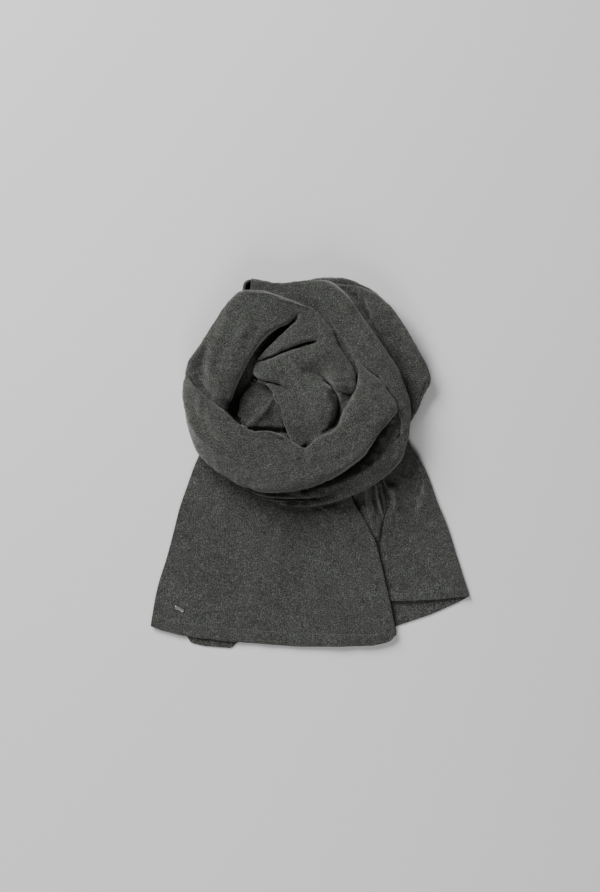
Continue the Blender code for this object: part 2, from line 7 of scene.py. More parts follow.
import logging
import math
from collections import namedtuple
from dataclasses import dataclass, field
from enum import Enum

import bmesh
import bpy
import numpy as np
from bpy.types import ID, Material, Mesh, Node, NodeOutputs, NodeSocket, NodeTree, Object
from mathutils import Matrix, Vector
from mathutils.bvhtree import BVHTree


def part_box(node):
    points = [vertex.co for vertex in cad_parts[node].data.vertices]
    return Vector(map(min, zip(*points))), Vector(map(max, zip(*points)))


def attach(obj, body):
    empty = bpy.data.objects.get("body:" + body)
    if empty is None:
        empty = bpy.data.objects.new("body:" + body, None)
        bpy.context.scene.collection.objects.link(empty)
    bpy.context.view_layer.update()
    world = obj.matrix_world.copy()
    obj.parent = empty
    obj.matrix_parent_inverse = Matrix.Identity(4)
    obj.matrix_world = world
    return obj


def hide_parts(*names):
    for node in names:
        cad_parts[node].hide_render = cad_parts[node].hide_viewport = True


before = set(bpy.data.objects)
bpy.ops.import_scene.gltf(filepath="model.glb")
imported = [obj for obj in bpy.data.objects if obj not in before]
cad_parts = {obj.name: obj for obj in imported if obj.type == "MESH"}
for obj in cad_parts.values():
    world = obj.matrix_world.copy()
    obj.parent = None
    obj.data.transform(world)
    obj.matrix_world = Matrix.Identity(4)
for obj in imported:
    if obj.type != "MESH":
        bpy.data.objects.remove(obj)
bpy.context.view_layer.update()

LOG = logging.getLogger("shawl")
MM = 0.001

LAYER = 2.0  # one layer of milled knit
BAND_WALL = 3.0  # two layers pressed together in a wound stretch
LAYER_GAP = 0.9  # air between a tail's two layers
FOLD_HEIGHT = 7.0  # a tail's soft lengthwise fold
HEM_BAND = 10.0  # the depth of the hem
HEM_RAISE = 1.2  # how far the hem stands out of the cloth
FOLD_REACH = 22.0  # how far a tail's fold keeps its layers apart
FOLD_BULGE = 0.6  # of a tail's fold; 1 is a half circle
FOLD_RADIUS = FOLD_BULGE * FOLD_HEIGHT / 2
UNDER_SWEEP = math.radians(80)  # how far an edge rolls under
ROUNDNESS = 2.3  # of a section's arch; 2 is an ellipse
ROLLED_DROP = 6.0  # an edge that drops this far is fully rolled
LEAST_DROP = 3.5  # a smaller roll would be tighter than the cloth's own thickness
SELVEDGE_POWER = 0.9  # the slant of an edge that isn't rolled
LAP_ROUND = 3.2  # how far in from its edge a lap rounds over
NAP_LOWEST = 3.0  # the cloth that touches the surface has no nap
EDGE_BULGE = 0.8  # of the cloth's own edge; 1 is a half circle
ROW_GAP = 4.0  # keeps a table's rows apart where they fan out round one point
WAVES = 10  # the waves in a rumple
CREASE_FADE = 0.35  # the share of a crease over which it comes and goes
CREASE_WANDER = 0.12  # how far a crease strays from its line, in half widths
CREASE_END = (0.6, 1.5)  # how far a crease runs past its ends: in half widths, and in millimetres
LOW_SIDE = 0.35  # how far a lap's trough lies towards its low side, in half widths
SHOULDER_PLACE = 2.1  # where the cloth stands up beside a crease, in half widths
SHOULDER_WIDTH = 1.1
SHOULDER_RISE = 0.18  # how high it stands there, as a share of the crease's depth
WANDER_SIZE = 15.0  # from one bend to the next where a crease strays
WANDER_SEED = 40
FOLD_START = 0.12  # where a broad fold's fade starts and ends, as a share of a half wave
FACING_UP = 0.4  # the least height of a normal that counts as facing up
ABOVE_ALL = 400.0  # a height above every piece
PIXEL = 1.3765  # a pixel of the photograph, from the front tail's hem of 340 mm
MIDDLE = (310.0, 462.5)  # the place in the photograph above the middle of the shawl

# The edges of a wound stretch seen from above, their heights, the rise of the arch between them, and
# how far each edge drops as it rolls under
Section = namedtuple("Section", "out_x out_y out_z in_x in_y in_z crown out_drop in_drop")

# A broad fold bends through three points. A ridge has a negative depth.
Fold = namedtuple("Fold", "x0 y0 x1 y1 x2 y2 width depth")


@dataclass(frozen=True)
class Crease:
    """A crease in the cloth, placed along a line that the photograph shows.

    Attributes:
        path: Places along it in the photograph, across and down, in pixels.
        width: The width of its trough, in millimetres.
        depth: The depth of its trough; a ridge is negative.
        lap: How far the cloth on its left, going along it, stands over the cloth on its right.
        start: The share of its strength that it starts with.
        end: The share that it ends with.
        reach: How far back a lap stays raised.
    """

    path: tuple[tuple[float, float], ...]
    width: float
    depth: float
    lap: float = 0.0
    start: float = 0.3
    end: float = 0.3
    reach: float = 16.0


LOOP_BACK = (
    # out_x, out_y, out_z, in_x, in_y, in_z, crown, out_drop, in_drop
    (-34, 240, 7, -32, 222, 8, 3, 5, 5),
    (-12, 249, 9, -12, 220, 11, 6, 7, 6),
    (8, 254, 11, 2, 219, 15, 10, 9, 8),
    (30, 255, 13, 17, 215, 17, 12, 12, 10),
    (55, 252, 14, 33, 204, 15, 12, 12, 11),
    (80, 241, 15, 48, 188, 13, 11, 12, 11),
    (105, 221, 16, 62, 169, 11, 11, 13, 10),
    (125, 193, 15, 74, 149, 9, 11, 12, 8),
    (145, 162, 15, 87, 130, 9, 11, 12, 8),
    (161, 133, 14, 98, 112, 9, 10, 11, 8),
    (166, 113, 11, 105, 97, 12, 9, 9, 8),
    (157, 93, 10, 108, 81, 12, 8, 8, 8),
    (149, 74, 11, 108, 66, 14, 9, 10, 8),
    (138, 56, 10, 106, 52, 12, 7, 8, 6),
)

LOOP_OUTER = (
    # out_x, out_y, out_z, in_x, in_y, in_z, crown, out_drop, in_drop
    (-80, 252.5, 22, -82, 224, 26, 15, 17, 12),
    (-64, 251, 23, -62, 213, 26, 17, 20, 14),
    (-34, 248, 26, -33, 206, 28, 17, 18, 14),
    (0, 250, 31, -7, 196, 30, 18, 18, 14),
    (25, 249, 36, 11, 182, 31, 19, 18, 14),
    (45, 236, 40, 22, 166, 32, 20, 16, 14),
    (66, 210, 43, 32, 147, 30, 19, 14, 14),
    (87, 179, 44, 39, 130, 30, 19, 12, 14),
    (107, 149, 43, 44, 116, 29, 19, 12, 14),
    (124, 120, 41, 48, 101, 28, 19, 12, 14),
    (135, 88, 36, 60, 86, 29, 19, 12, 12),
    (139, 60, 32, 84, 70, 24, 17, 15, 10),
    (136, 36, 30, 98, 53, 18, 16, 16, 8),
    (125, 6, 29, 86, 31, 15, 16, 14, 6),
    (99, -22, 28, 64, 12, 14, 16, 11, 5),
    (63, -44, 27, 40, -6, 14, 15, 9, 5),
    (25, -57, 25, 14, -20, 14, 13, 9, 5),
    (-9, -60, 23, -9, -29, 15, 12, 10, 5),
    (-39, -56, 21, -34, -32, 15, 10, 9, 5),
    (-64, -48, 18, -54, -26, 15, 9, 8, 0),
    (-88, -38, 16, -76, -18, 14, 8, 6, 0),
    (-112, -26, 13, -98, -6, 13, 6, 0, 0),
)

LOOP_INNER = (
    # out_x, out_y, out_z, in_x, in_y, in_z, crown, out_drop, in_drop
    (-148, 62, 15, -101, 40, 24, 8, 8, 0),
    (-162, 86, 17, -109, 56, 28, 12, 14, 6),
    (-172, 111, 20, -113, 73, 31, 17, 18, 14),
    (-169, 131, 26, -107, 89, 29, 20, 20, 16),
    (-156, 152, 27, -99, 109, 30, 23, 22, 19),
    (-143, 174, 29, -89, 130, 32, 25, 23, 20),
    (-131, 195, 31, -77, 152, 33, 25, 24, 19),
    (-114, 218, 35, -62, 171, 35, 24, 20, 18),
    (-95, 234, 38, -44, 184, 40, 20, 10, 15),
    (-72, 236, 47, -30, 191, 43, 13, 2, 10),
    (-48, 231, 51, -21, 196, 46, 9, 0, 5),
    (-25, 222, 53, -17, 198, 47, 6, 0, 2),
    (-3, 213, 55, -17, 197, 48, 5, 0, 2),
    (14, 202, 57, -21, 192, 47, 6, 0, 4),
    (26, 185, 58, -31, 184, 45, 8, 0, 9),
    (37, 164, 58, -46, 171, 41, 10, 0, 12),
    (50, 145, 58, -60, 156, 37, 12, 0, 14),
    (59, 126, 57, -72, 141, 34, 13, 0, 14),
    (63, 104, 53, -78, 121, 32, 13, 1, 12),
    (61, 86, 46, -58, 105, 36, 12, 2, 8),
    (57, 66, 41, -46, 84, 37, 11, 3, 7),
    (50, 42, 37, -35, 52, 36, 9, 3, 6),
    (40, 18, 33, -25, 30, 32, 6, 3, 4),
    (30, -2, 30, -14, 8, 29, 4, 3, 4),
)

INNER_LOBE = (
    # out_x, out_y, out_z, in_x, in_y, in_z, crown, out_drop, in_drop
    (-62, 132, 22, -36, 120, 26, 3, 0, 0),
    (-66, 122, 22, -38, 110, 26, 4, 0, 0),
    (-81, 109, 20, -38, 93, 24, 8, 7, 5),
    (-92, 94, 21, -37, 75, 25, 10, 8, 5),
    (-98, 78, 21, -34, 59, 25, 11, 8, 5),
    (-96, 61, 20, -29, 42, 23, 9, 7, 0),
    (-85, 45, 19, -23, 31, 21, 6, 0, 0),
)

LOOP_FRONT = (
    # out_x, out_y, out_z, in_x, in_y, in_z, crown, out_drop, in_drop
    (-171, 121, 20, -169, 118, 26, 0, 0, 0),
    (-174, 107, 22, -160, 108, 38, 5, 8, 0),
    (-175, 90, 23, -149, 97, 45, 8, 16, 0),
    (-171, 58, 24, -131, 81, 50, 13, 19, 0),
    (-164, 36, 25, -113, 67, 53, 17, 19, 6),
    (-154, 13, 26, -95, 52, 53, 20, 18, 10),
    (-136, -6, 29, -78, 43, 53, 22, 18, 12),
    (-113, -21, 31, -59, 42, 52, 24, 17, 13),
    (-85, -34, 34, -37, 36, 51, 25, 16, 14),
    (-52, -42, 37, -18, 25, 51, 26, 15, 13),
    (-17, -38, 40, -6, 21, 51, 26, 14, 11),
    (17, -27, 46, 11, 34, 50, 24, 13, 10),
    (48, -10, 51, 28, 42, 48, 21, 14, 8),
    (72, 9, 56, 39, 54, 46, 18, 16, 6),
    (91, 33, 59, 45, 70, 47, 15, 14, 5),
    (108, 58, 57, 54, 86, 52, 14, 14, 0),
    (119, 74, 54, 62, 103, 54, 11, 12, 0),
    (107, 96, 52, 66, 116, 58, 8, 9, 0),
    (90, 118, 53, 67, 129, 57, 4, 5, 0),
    (79, 132, 47, 70, 137, 50, 0, 0, 0),
)

SIDE_TAIL = (
    # fold_x, fold_y, top_x, top_y, under_x, under_y
    (128, 55, 80, 30, 42, 20),
    (140, 22, 95, -8, 42, -14),
    (150, 8, 106, -34, 46, -40),
    (161, -13, 111, -52, 52, -62),
    (175, -52, 105, -74, 60, -92),
    (189, -86, 100, -108, 56, -128),
    (202, -127, 94, -142, 50, -164),
    (211, -155, 86, -168, 44, -198),
    (221, -185, 76, -191, 38, -236),
)

FRONT_TAIL = (
    # fold_x, fold_y, top_x, top_y, under_x, under_y
    (40, 18, -134, 34, -130, 34),
    (52, -24, -148, 18, -144, 18),
    (61, -54, -158, -2, -154, -3),
    (79, -86, -170, -35, -165, -36),
    (92, -113, -180, -64, -175, -66),
    (99, -140, -188, -96, -183, -98),
    (105, -166, -197, -130, -191, -133),
    (112, -196, -210, -172, -204, -176),
    (120, -238, -220, -226, -212, -230),
)

SIDE_HEM = (
    # across, top_sag, under_sag
    (0.0, 0, 0),
    (0.1, 0, 4),
    (0.3, 2, 10),
    (0.6, 2, 13),
    (1.0, 0, 4),
)

FRONT_HEM = (
    # across, top_sag, under_sag
    (0.0, 0, 0),
    (0.02, 8, 4),
    (0.05, 12, 7),
    (0.1, 16, 11),
    (0.23, 19, 14),
    (0.4, 21, 16),
    (0.55, 19, 15),
    (0.66, 17.5, 15),
    (0.69, 17, 24),
    (0.8, 14, 22),
    (0.86, 12, 18),
    (0.88, 11, 6),
    (0.96, 5, 0),
    (1.0, 0, 0),
)

TAIL_GATHER = (
    # left_x, left_y, right_x, right_y
    (54, -6, 88, 0),
    (58, -42, 103, -42),
    (66, -66, 104, -66),
    (76, -88, 98, -88),
    (86, -108, 95, -108),
)

# The solids' own folds: the shells take them too, so that each lies on its solid
MAIN_FOLDS = {
    "loop_inner": (
        (-74, 141, -36, 154, 8, 164, 11, 6),
        (-2, 126, 22, 112, 34, 88, 13, 9),
        (34, 92, 39, 72, 34, 50, 14, 12),
        (-78, 116, -54, 112, -32, 102, 10, 3),
        (-58, 98, -52, 92, -44, 84, 10, 4),
        (-158, 142, -153, 126, -150, 112, 20, 7),
        (-40, 150, -10, 140, 20, 150, 18, -4),
    ),
    "loop_outer": (
        (44, 246, 66, 226, 82, 198, 14, 4),
        (136, 30, 90, -8, 30, -34, 12, -3),
    ),
    "loop_front": (
        (-158, 60, -140, 20, -104, 0, 20, -3),
        (-96, 40, -50, 4, 10, 6, 26, 3),
        (-150, 40, -128, 8, -92, -14, 12, 3),
        (40, 20, 66, 36, 80, 62, 16, 3),
    ),
    "loop_back": (
        (52, 240, 76, 222, 92, 196, 14, 6),
        (70, 236, 110, 200, 142, 140, 18, -3),
    ),
    "inner_lobe": ((-50, 94, -62, 74, -84, 52, 12, -5),),
    "front_tail": (
        (12, -62, 22, -70, 44, -86, 12, 2),
        (-52, -70, -58, -120, -54, -170, 22, -3),
        (6, -70, 4, -120, 16, -190, 24, 2),
        (52, -72, 74, -120, 84, -170, 18, -2),
        (-120, -20, -128, -90, -150, -180, 26, 2),
    ),
    "side_tail": (
        (141, -20, 132, -52, 118, -92, 15, 4),
        (160, -30, 158, -80, 170, -140, 18, -3),
    ),
}

# Finer creases, placed one by one
CREASES = {
    "loop_inner": (
        # the fan's overlaps, at the ring's middle
        Crease(((257, 361), (269, 358), (285, 351), (300, 345.5), (315, 342)), 4, 8, 4.5, 0.6, 0.7),
        Crease(((292, 348.5), (304, 344.5), (313, 342)), 5, 8, 0, 0.2, 0.8),
        Crease(((256, 379.5), (264, 381), (275, 383.5), (290, 389)), 4, 7, 3.5, 0.7, 0.2),
        # the crease down the fan's right, and the hollow beyond it
        Crease(((323, 433), (332, 425), (337.5, 412), (337, 399), (331, 388), (320, 377), (308, 369)),
               5, 6, 5, 0.3, 0, 14),
        Crease(((346, 393), (344, 404), (341, 415), (336, 426)), 20, 11, 0, 0.9, 0.3),
        Crease(((322, 381), (334, 387), (345, 393), (355, 394)), 5, 5, 4, 0.2, 0.8, 14),
        Crease(((331, 433), (320, 439), (310, 445)), 16, -6, 0, 0.3, 0.3),
        Crease(((308, 445), (301, 450)), 5, 6, 0, 0.3, 1),
        Crease(((311, 384), (318, 398), (318, 416)), 26, -2.5, 0, 0.1, 0.1),
        # dents by the point of the gap, where the cloth turns back on itself
        Crease(((304, 323), (312, 319), (320, 317)), 9, 2.5, 0, 0.6, 0),
        Crease(((283, 330), (291, 322), (299, 315)), 4, 6, 0, 1, 0.2),
        Crease(((300, 317), (307, 313), (315, 310)), 7, 1.5, 0, 0.5, 0),
        Crease(((276, 398), (300, 402), (322, 408)), 60, 4, 0, 0.5, 0.5),
        Crease(((262, 352), (280, 342), (300, 334)), 20, 2, 0, 0.4, 0.2),
        Crease(((262, 372), (284, 366), (304, 358)), 18, -2, 0, 0.3, 0.1),
        # the long side
        Crease(((208, 342), (205, 357), (203, 371), (203, 386)), 13, 5, 0, 0.1, 1),
        Crease(((187, 374), (192, 380), (200, 388), (211, 397)), 10, 7, 0, 0.5, 0.5),
        Crease(((205, 356), (211, 334), (222, 314), (236, 300)), 17, 3.2, 0, 0.6, 0.1),
        Crease(((224, 368), (231, 350), (243, 332), (258, 318)), 22, -2.4, 0, 0.1, 0.2),
        Crease(((216, 372), (220, 388), (222, 404)), 14, -2.5, 0, 0.1, 0.4),
        Crease(((241, 294), (269, 295), (283, 301), (300, 306), (316, 312), (326, 323)),
               3.2, -2.8, 0, 0.6, 0.4),
    ),
    "loop_outer": (
        # under the edge of the front loop
        Crease(((391, 417), (385, 426), (378, 437), (371, 448), (361, 460)), 8, 18, 0, 0.6, 0.5),
        Crease(((403, 402), (400, 420), (395, 434), (388, 448), (377, 461), (362, 474), (334, 489)),
               24, -10, 0, 0, 0),
        Crease(((362, 459), (348, 470), (329, 480), (304, 490)), 10, 11, 0, 0.6, 0.4),
        Crease(((304, 490), (275, 492), (248, 485), (222, 471)), 9, 6, 0, 0.5, 0.3),
        Crease(((369, 370), (380, 384), (390, 398), (398, 409)), 8, 9, 0, 0, 0.5),
        Crease(((396.5, 411), (400, 421), (399.5, 434), (393, 442)), 4, 6, 2, 0.7, 0.2, 8),
        Crease(((396, 440), (384, 455), (370, 467), (352, 477), (326, 488)), 9, -3, 0, 0.2, 0.2),
        Crease(((350, 487), (325, 497), (297, 500), (262, 496)), 20, 7, 0, 0.2, 0.2),
        Crease(((222, 477), (240, 487), (260, 496), (284, 499), (315, 498), (336, 493)),
               3, 3.5, 1.2, 0, 0.2, 9),
        Crease(((236, 488), (262, 500), (290, 503), (318, 502)), 3, 2, 0, 0, 0),
        # under the edge of the fan
        Crease(((326, 324), (335, 333), (344, 345), (353, 361), (361, 382)), 6, 3, 0, 0.2, 0.9),
        # broad swells along the loop
        Crease(((352, 318), (370, 342), (386, 370)), 22, -2, 0, 0, 0.1),
        Crease(((330, 300), (348, 316), (364, 342)), 18, 2, 0, 0, 0.1),
        Crease(((262, 284), (290, 287), (322, 290)), 20, 1.6, 0, 0, 0.1),
    ),
    "loop_front": (
        Crease(((185, 404), (189, 418), (196, 432), (207, 444), (222, 458)), 9, -3.4, 0, 0.3, 0.1),
        Crease(((194, 404), (203, 423), (216, 438), (234, 450)), 14, 3.4, 0, 0.2, 0.1),
        Crease(((206, 403), (224, 419), (244, 432), (268, 439), (292, 447)), 26, 5, 0, 0.6, 0.6),
        Crease(((226, 478), (252, 482), (282, 481)), 12, 2, 0, 0.1, 0.1),
        Crease(((244, 433), (262, 438), (282, 441), (298, 452)), 7, 3, 0, 0.1, 0.5),
        Crease(((262, 431), (276, 436), (289, 441)), 4, 3.5, 1.5, 0.3, 0.2, 8),
        Crease(((302, 449), (304, 458), (309, 468)), 12, 4, 0, 1, 0),
        Crease(((322, 444), (338, 432), (350, 416)), 16, -2, 0, 0.1, 0.2),
        Crease(((352, 446), (366, 430), (377, 410)), 20, -2, 0, 0.1, 0.1),
        Crease(((357, 385), (366, 398), (377, 412)), 13, 3.2, 0, 0.1, 0.1),
        Crease(((364, 370), (372, 386), (386, 402), (396, 409)), 8, -2.5, 0, 0.3, 0.3),
        Crease(((318, 470), (338, 460), (356, 446)), 16, 1.8, 0, 0, 0.1),
    ),
    "loop_back": (
        Crease(((340, 283), (353, 297), (370, 320), (384, 343), (397, 368), (409, 392)), 8, 5, 0, 0.1, 0.9),
        Crease(((348, 290), (358, 296.5), (366, 305), (371.5, 318)), 10, 5, 3.5, 0, 0.9, 22),
        Crease(((372, 318), (386, 341), (399, 366)), 16, -1.5, 0, 0.2, 0.1),
        Crease(((389, 303), (376, 294), (358, 286.5), (339, 284), (318, 282), (304, 281)),
               2.6, 2, 3.5, 0.2, 0.6, 12),
        Crease(((428, 379), (423, 391), (417, 405)), 3, 2.5, 0, 0.3, 0.3),
        Crease(((384, 316), (400, 338), (414, 362)), 24, 2.6, 0, 0.1, 0.1),
        Crease(((372, 297), (396, 320), (418, 352)), 12, -1.8, 0, 0, 0),
        Crease(((398, 366), (408, 382), (416, 396)), 10, 3, 0, 0, 0.3),
    ),
    "inner_lobe": (
        Crease(((276, 393), (269, 402), (262, 411), (254, 419), (243, 427)), 6, 0.6, 2, 0.3, 0.9, 26),
        Crease(((280, 384), (262, 402), (248, 420)), 90, 4, 0, 1, 1),
        Crease(((292, 432), (272, 431), (250, 430)), 7, 8, 0, 0.8, 0.8),
        Crease(((284, 405), (288, 418), (292, 430)), 8, 7, 0, 0.3, 0.8),
        Crease(((252, 392), (247, 402), (246, 412)), 10, 1.5, 0, 0.1, 0.1),
    ),
    "front_tail": (
        Crease(((315, 506), (327, 513), (342, 524)), 3, 1.4, 1.8, 0.9, 0, 14),
        Crease(((312, 503), (332, 515), (350, 534), (360, 560)), 34, -4.5, 0, 0.7, 0.1),
        Crease(((277, 507), (290, 519), (294, 531)), 4, -1.2, 0, 0.6, 0),
        Crease(((270, 505), (267, 530), (262, 560), (266, 604)), 18, 1.7, 0, 0.3, 0),
        Crease(((286, 506), (281, 540), (278, 580)), 14, -1.5, 0, 0.4, 0),
        Crease(((318, 524), (319, 560), (322, 604)), 16, 1.3, 0, 0.2, 0),
        Crease(((344, 520), (354, 560), (362, 606)), 16, -1.2, 0, 0.3, 0),
        Crease(((194, 450), (208, 465), (224, 477), (244, 489), (262, 499), (284, 506)), 7, 4, 0, 0.6, 1),
        Crease(((284, 506), (306, 509), (328, 505), (350, 497)), 7, 4, 0, 1, 1),
        Crease(((328, 576), (335, 586), (338, 600)), 20, 1.5, 0, 0.1, 0.1),
        Crease(((232, 500), (218, 540), (206, 590)), 26, 1.4, 0, 0.2, 0),
        Crease(((206, 476), (196, 520), (180, 572)), 20, -1.2, 0, 0.2, 0),
        Crease(((176, 536), (196, 541), (222, 552)), 14, 1.2, 0, 0, 0),
        Crease(((246, 580), (250, 606), (248, 634)), 22, -1.2, 0, 0, 0.3),
        Crease(((352, 506), (362, 526), (372, 548), (380, 572)), 9, -1.6, 0, 0.3, 0),
    ),
    "side_tail": (
        Crease(((394, 536), (398.5, 521), (403, 507), (407, 496), (411, 480)), 6, 2, 6, 0, 1, 16),
        Crease(((421, 462), (416, 482), (409, 500), (402, 517), (396, 533)), 20, 15, 0, 1, 0),
        Crease(((430, 468), (430, 490), (424, 522)), 44, -7, 0, 1, 0),
        Crease(((382, 486), (389, 488), (394, 493), (396, 504), (394, 520)), 9, -7, 0, 0.6, 0),
        Crease(((424, 476), (425, 510), (419, 548)), 22, 2.2, 0, 0.3, 0),
        Crease(((434, 500), (444, 536), (452, 572)), 18, -1.6, 0, 0.1, 0),
        Crease(((402, 546), (404, 570), (402, 592)), 20, 1.4, 0, 0, 0.1),
        Crease(((383, 526), (386, 550), (389, 574)), 12, -2.2, 0, 0.5, 0),
    ),
    "tail_gather": (
        Crease(((362, 487), (361, 498), (357, 508)), 10, 14, 0, 1, 0.4),
        Crease(((374, 487), (375, 499), (378.5, 510), (383.5, 520)), 5, 13, 0, 1, 0.4),
        Crease(((380, 487), (381.5, 499), (384.5, 511), (386, 519)), 4, 9, 0, 1, 0.4),
        Crease(((386, 486), (389, 494), (388, 508)), 10, 13, 0, 1, 0.4),
        Crease(((368, 488), (368, 502), (371, 520), (376, 538)), 12, -5, 0, 0.8, 0),
        Crease(((378, 540), (379, 549), (380, 558)), 9, 9, 0, 0.4, 1),
    ),
}


class Held(Enum):
    """How a stretch of the cloth lies."""

    FOLDED = "folded"
    GATHERED = "gathered"


def linear(code: str) -> tuple[float, float, float, float]:
    """Turns an sRGB hex colour into a linear one.

    Args:
        code: Six hex digits.

    Returns:
        Red, green, blue and an alpha of 1.
    """
    shares = [int(code[i : i + 2], 16) / 255 for i in (0, 2, 4)]
    made = [s / 12.92 if s <= 0.04045 else ((s + 0.055) / 1.055) ** 2.4 for s in shares]
    return (made[0], made[1], made[2], 1.0)


def feed(tree: NodeTree, node: Node, inputs: dict) -> None:
    """Feeds a node's inputs.

    Args:
        tree: The node's tree.
        node: The node.
        inputs: For each input, by name or number, a value or the socket that feeds it.
    """
    for key, value in inputs.items():
        if isinstance(value, NodeSocket):
            tree.links.new(value, node.inputs[key])
        else:
            node.inputs[key].default_value = value


def add_node(
    tree: NodeTree, kind: str, inputs: dict, output: str | int | None = None, **settings: str
) -> Node | NodeSocket:
    """Adds a node to a tree.

    Args:
        tree: The node tree.
        kind: The node's type.
        inputs: For each input, by name or number, a value or the socket that feeds it.
        output: The output that is wanted.
        **settings: Values for the node's own properties.

    Returns:
        The output, or the node where none is named.
    """
    node = tree.nodes.new(kind)
    for key, value in settings.items():
        setattr(node, key, value)
    feed(tree, node, inputs)
    return node if output is None else node.outputs[output]


def maths(tree: NodeTree, operation: str, *values: float | NodeSocket) -> NodeSocket:
    """Works out a number from others."""
    return add_node(tree, "ShaderNodeMath", dict(enumerate(values)), 0, operation=operation)


def vector(tree: NodeTree, *values: float | NodeSocket) -> NodeSocket:
    """Puts three numbers together."""
    return add_node(tree, "ShaderNodeCombineXYZ", dict(enumerate(values)), "Vector")


def noise(
    tree: NodeTree, place: NodeSocket, size: float, detail: float = 2.0, roughness: float = 0.5
) -> NodeSocket:
    """Makes a noise whose lumps have a real size, in millimetres."""
    inputs = {"Vector": place, "Scale": 1 / (size * MM), "Detail": detail, "Roughness": roughness}
    return add_node(tree, "ShaderNodeTexNoise", inputs, "Fac")


def spread(
    tree: NodeTree,
    value: NodeSocket,
    wanted: tuple[float, float],
    given: tuple[float, float] = (0.0, 1.0),
) -> NodeSocket:
    """Spreads a value from the range given over the range wanted."""
    inputs = {"Value": value, "From Min": given[0], "From Max": given[1], "To Min": wanted[0], "To Max": wanted[1]}
    return add_node(tree, "ShaderNodeMapRange", inputs, "Result")


def shaded(
    tree: NodeTree, colour: tuple | NodeSocket, shade: NodeSocket
) -> NodeSocket:
    """Makes a colour lighter or darker."""
    return add_node(tree, "ShaderNodeVectorMath", {"Vector": colour, "Scale": shade}, "Vector", operation="SCALE")


def bumped(
    tree: NodeTree, height: NodeSocket, strength: float, distance: float
) -> NodeSocket:
    """Tilts the surface by a height, whose full range is a distance in millimetres."""
    inputs = {"Height": height, "Strength": strength, "Distance": distance * MM}
    return add_node(tree, "ShaderNodeBump", inputs, "Normal")


@dataclass(frozen=True)
class Finish:
    """A real material and how its surface was made."""

    name: str

    def build(self) -> Material:
        """Makes the material, on a Principled shader.

        Returns:
            The material.
        """
        made = bpy.data.materials.new(self.name)
        made.use_nodes = True
        tree = made.node_tree
        place = add_node(tree, "ShaderNodeTexCoord", {}, "Object")
        feed(tree, tree.nodes["Principled BSDF"], self.inputs(tree, place))
        return made

    def inputs(self, tree: NodeTree, place: NodeSocket) -> dict:
        """Makes the nodes and values that feed the shader.

        Args:
            tree: The material's tree.
            place: The place on the object.

        Returns:
            What each of the shader's inputs is fed.
        """
        raise NotImplementedError


@dataclass(frozen=True)
class MilledKnit(Finish):
    """Lambswool jersey, fine gauge, washed and milled until its loops felt over.

    Milling hides the loops under a soft nap: no shine, a little light at grazing angles, light and
    dark fibres mixed in the yarn, and faint wales along the cloth.
    """

    name: str = "lambswool_knit_milled"
    dark: str = "222321"
    middle: str = "40423F"
    light: str = "70726D"
    sheen: str = "B8B8B4"
    fleck_mm: float = 1.5  # clumps of light fibre; real ones are about 1 mm, too fine to show
    wale_mm: float = 3.4  # real wales are about 1.4 mm apart, too fine to show
    wander_mm: float = 6.0
    mottle_mm: float = 9.0
    patch_mm: float = 70.0
    mottling: float = 0.26  # how far the mottles, the patches and the wales change the shade
    patching: float = 0.1
    striping: float = 0.07
    relief_mm: float = 0.9

    def inputs(self, tree: NodeTree, place: NodeSocket) -> dict:
        """Makes the flecked yarn, its wales and its relief.

        Args:
            tree: The material's tree.
            place: The place on the object.

        Returns:
            What each of the shader's inputs is fed.
        """
        fleck = noise(tree, place, self.fleck_mm, 2.0, 0.65)
        yarn = add_node(tree, "ShaderNodeValToRGB", {"Fac": fleck})
        stops = yarn.color_ramp.elements
        stops[0].position, stops[0].color = 0.33, linear(self.dark)
        stops[1].position, stops[1].color = 0.72, linear(self.light)
        stops.new(0.5).color = linear(self.middle)
        mottle = noise(tree, place, self.mottle_mm, 3.0, 0.6)
        mottled = spread(tree, mottle, (1 - self.mottling, 1 + self.mottling), (0.25, 0.75))
        patch = noise(tree, place, self.patch_mm)
        patched = spread(tree, patch, (1 - self.patching, 1 + self.patching), (0.3, 0.7))
        along = add_node(tree, "ShaderNodeUVMap", {}, "UV", uv_map="cloth")
        across = add_node(tree, "ShaderNodeSeparateXYZ", {"Vector": along}, "X")
        wander = noise(tree, place, self.wander_mm, 1.0)
        turns = maths(tree, "MULTIPLY_ADD", across, 2 * math.pi / (self.wale_mm * MM), wander)
        wale = maths(tree, "SINE", turns)
        striped = maths(tree, "MULTIPLY_ADD", wale, self.striping, 1.0)
        shade = maths(tree, "MULTIPLY", maths(tree, "MULTIPLY", mottled, patched), striped)
        height = maths(tree, "MULTIPLY_ADD", wale, 0.12, fleck)
        return {
            "Base Color": shaded(tree, yarn.outputs["Color"], shade),
            "Normal": bumped(tree, height, 0.5, self.relief_mm),
            "Roughness": 0.95,
            "Specular IOR Level": 0.15,
            "Diffuse Roughness": 1.0,
            "Sheen Weight": 0.42,
            "Sheen Roughness": 0.6,
            "Sheen Tint": linear(self.sheen),
        }


@dataclass(frozen=True)
class LooseFibre(Finish):
    """Single wool fibres, raised by milling: matt, light and dark ones mixed."""

    name: str = "lambswool_fibre_raised"
    dark: str = "3A3B38"
    light: str = "7C7D78"
    mix_mm: float = 2.0

    def inputs(self, tree: NodeTree, place: NodeSocket) -> dict:
        """Mixes light and dark fibres.

        Args:
            tree: The material's tree.
            place: The place on the object.

        Returns:
            What each of the shader's inputs is fed.
        """
        mix = {0: noise(tree, place, self.mix_mm), 6: linear(self.dark), 7: linear(self.light)}
        colour = add_node(tree, "ShaderNodeMix", mix, 2, data_type="RGBA")
        return {"Base Color": colour, "Roughness": 0.9, "Specular IOR Level": 0.2}


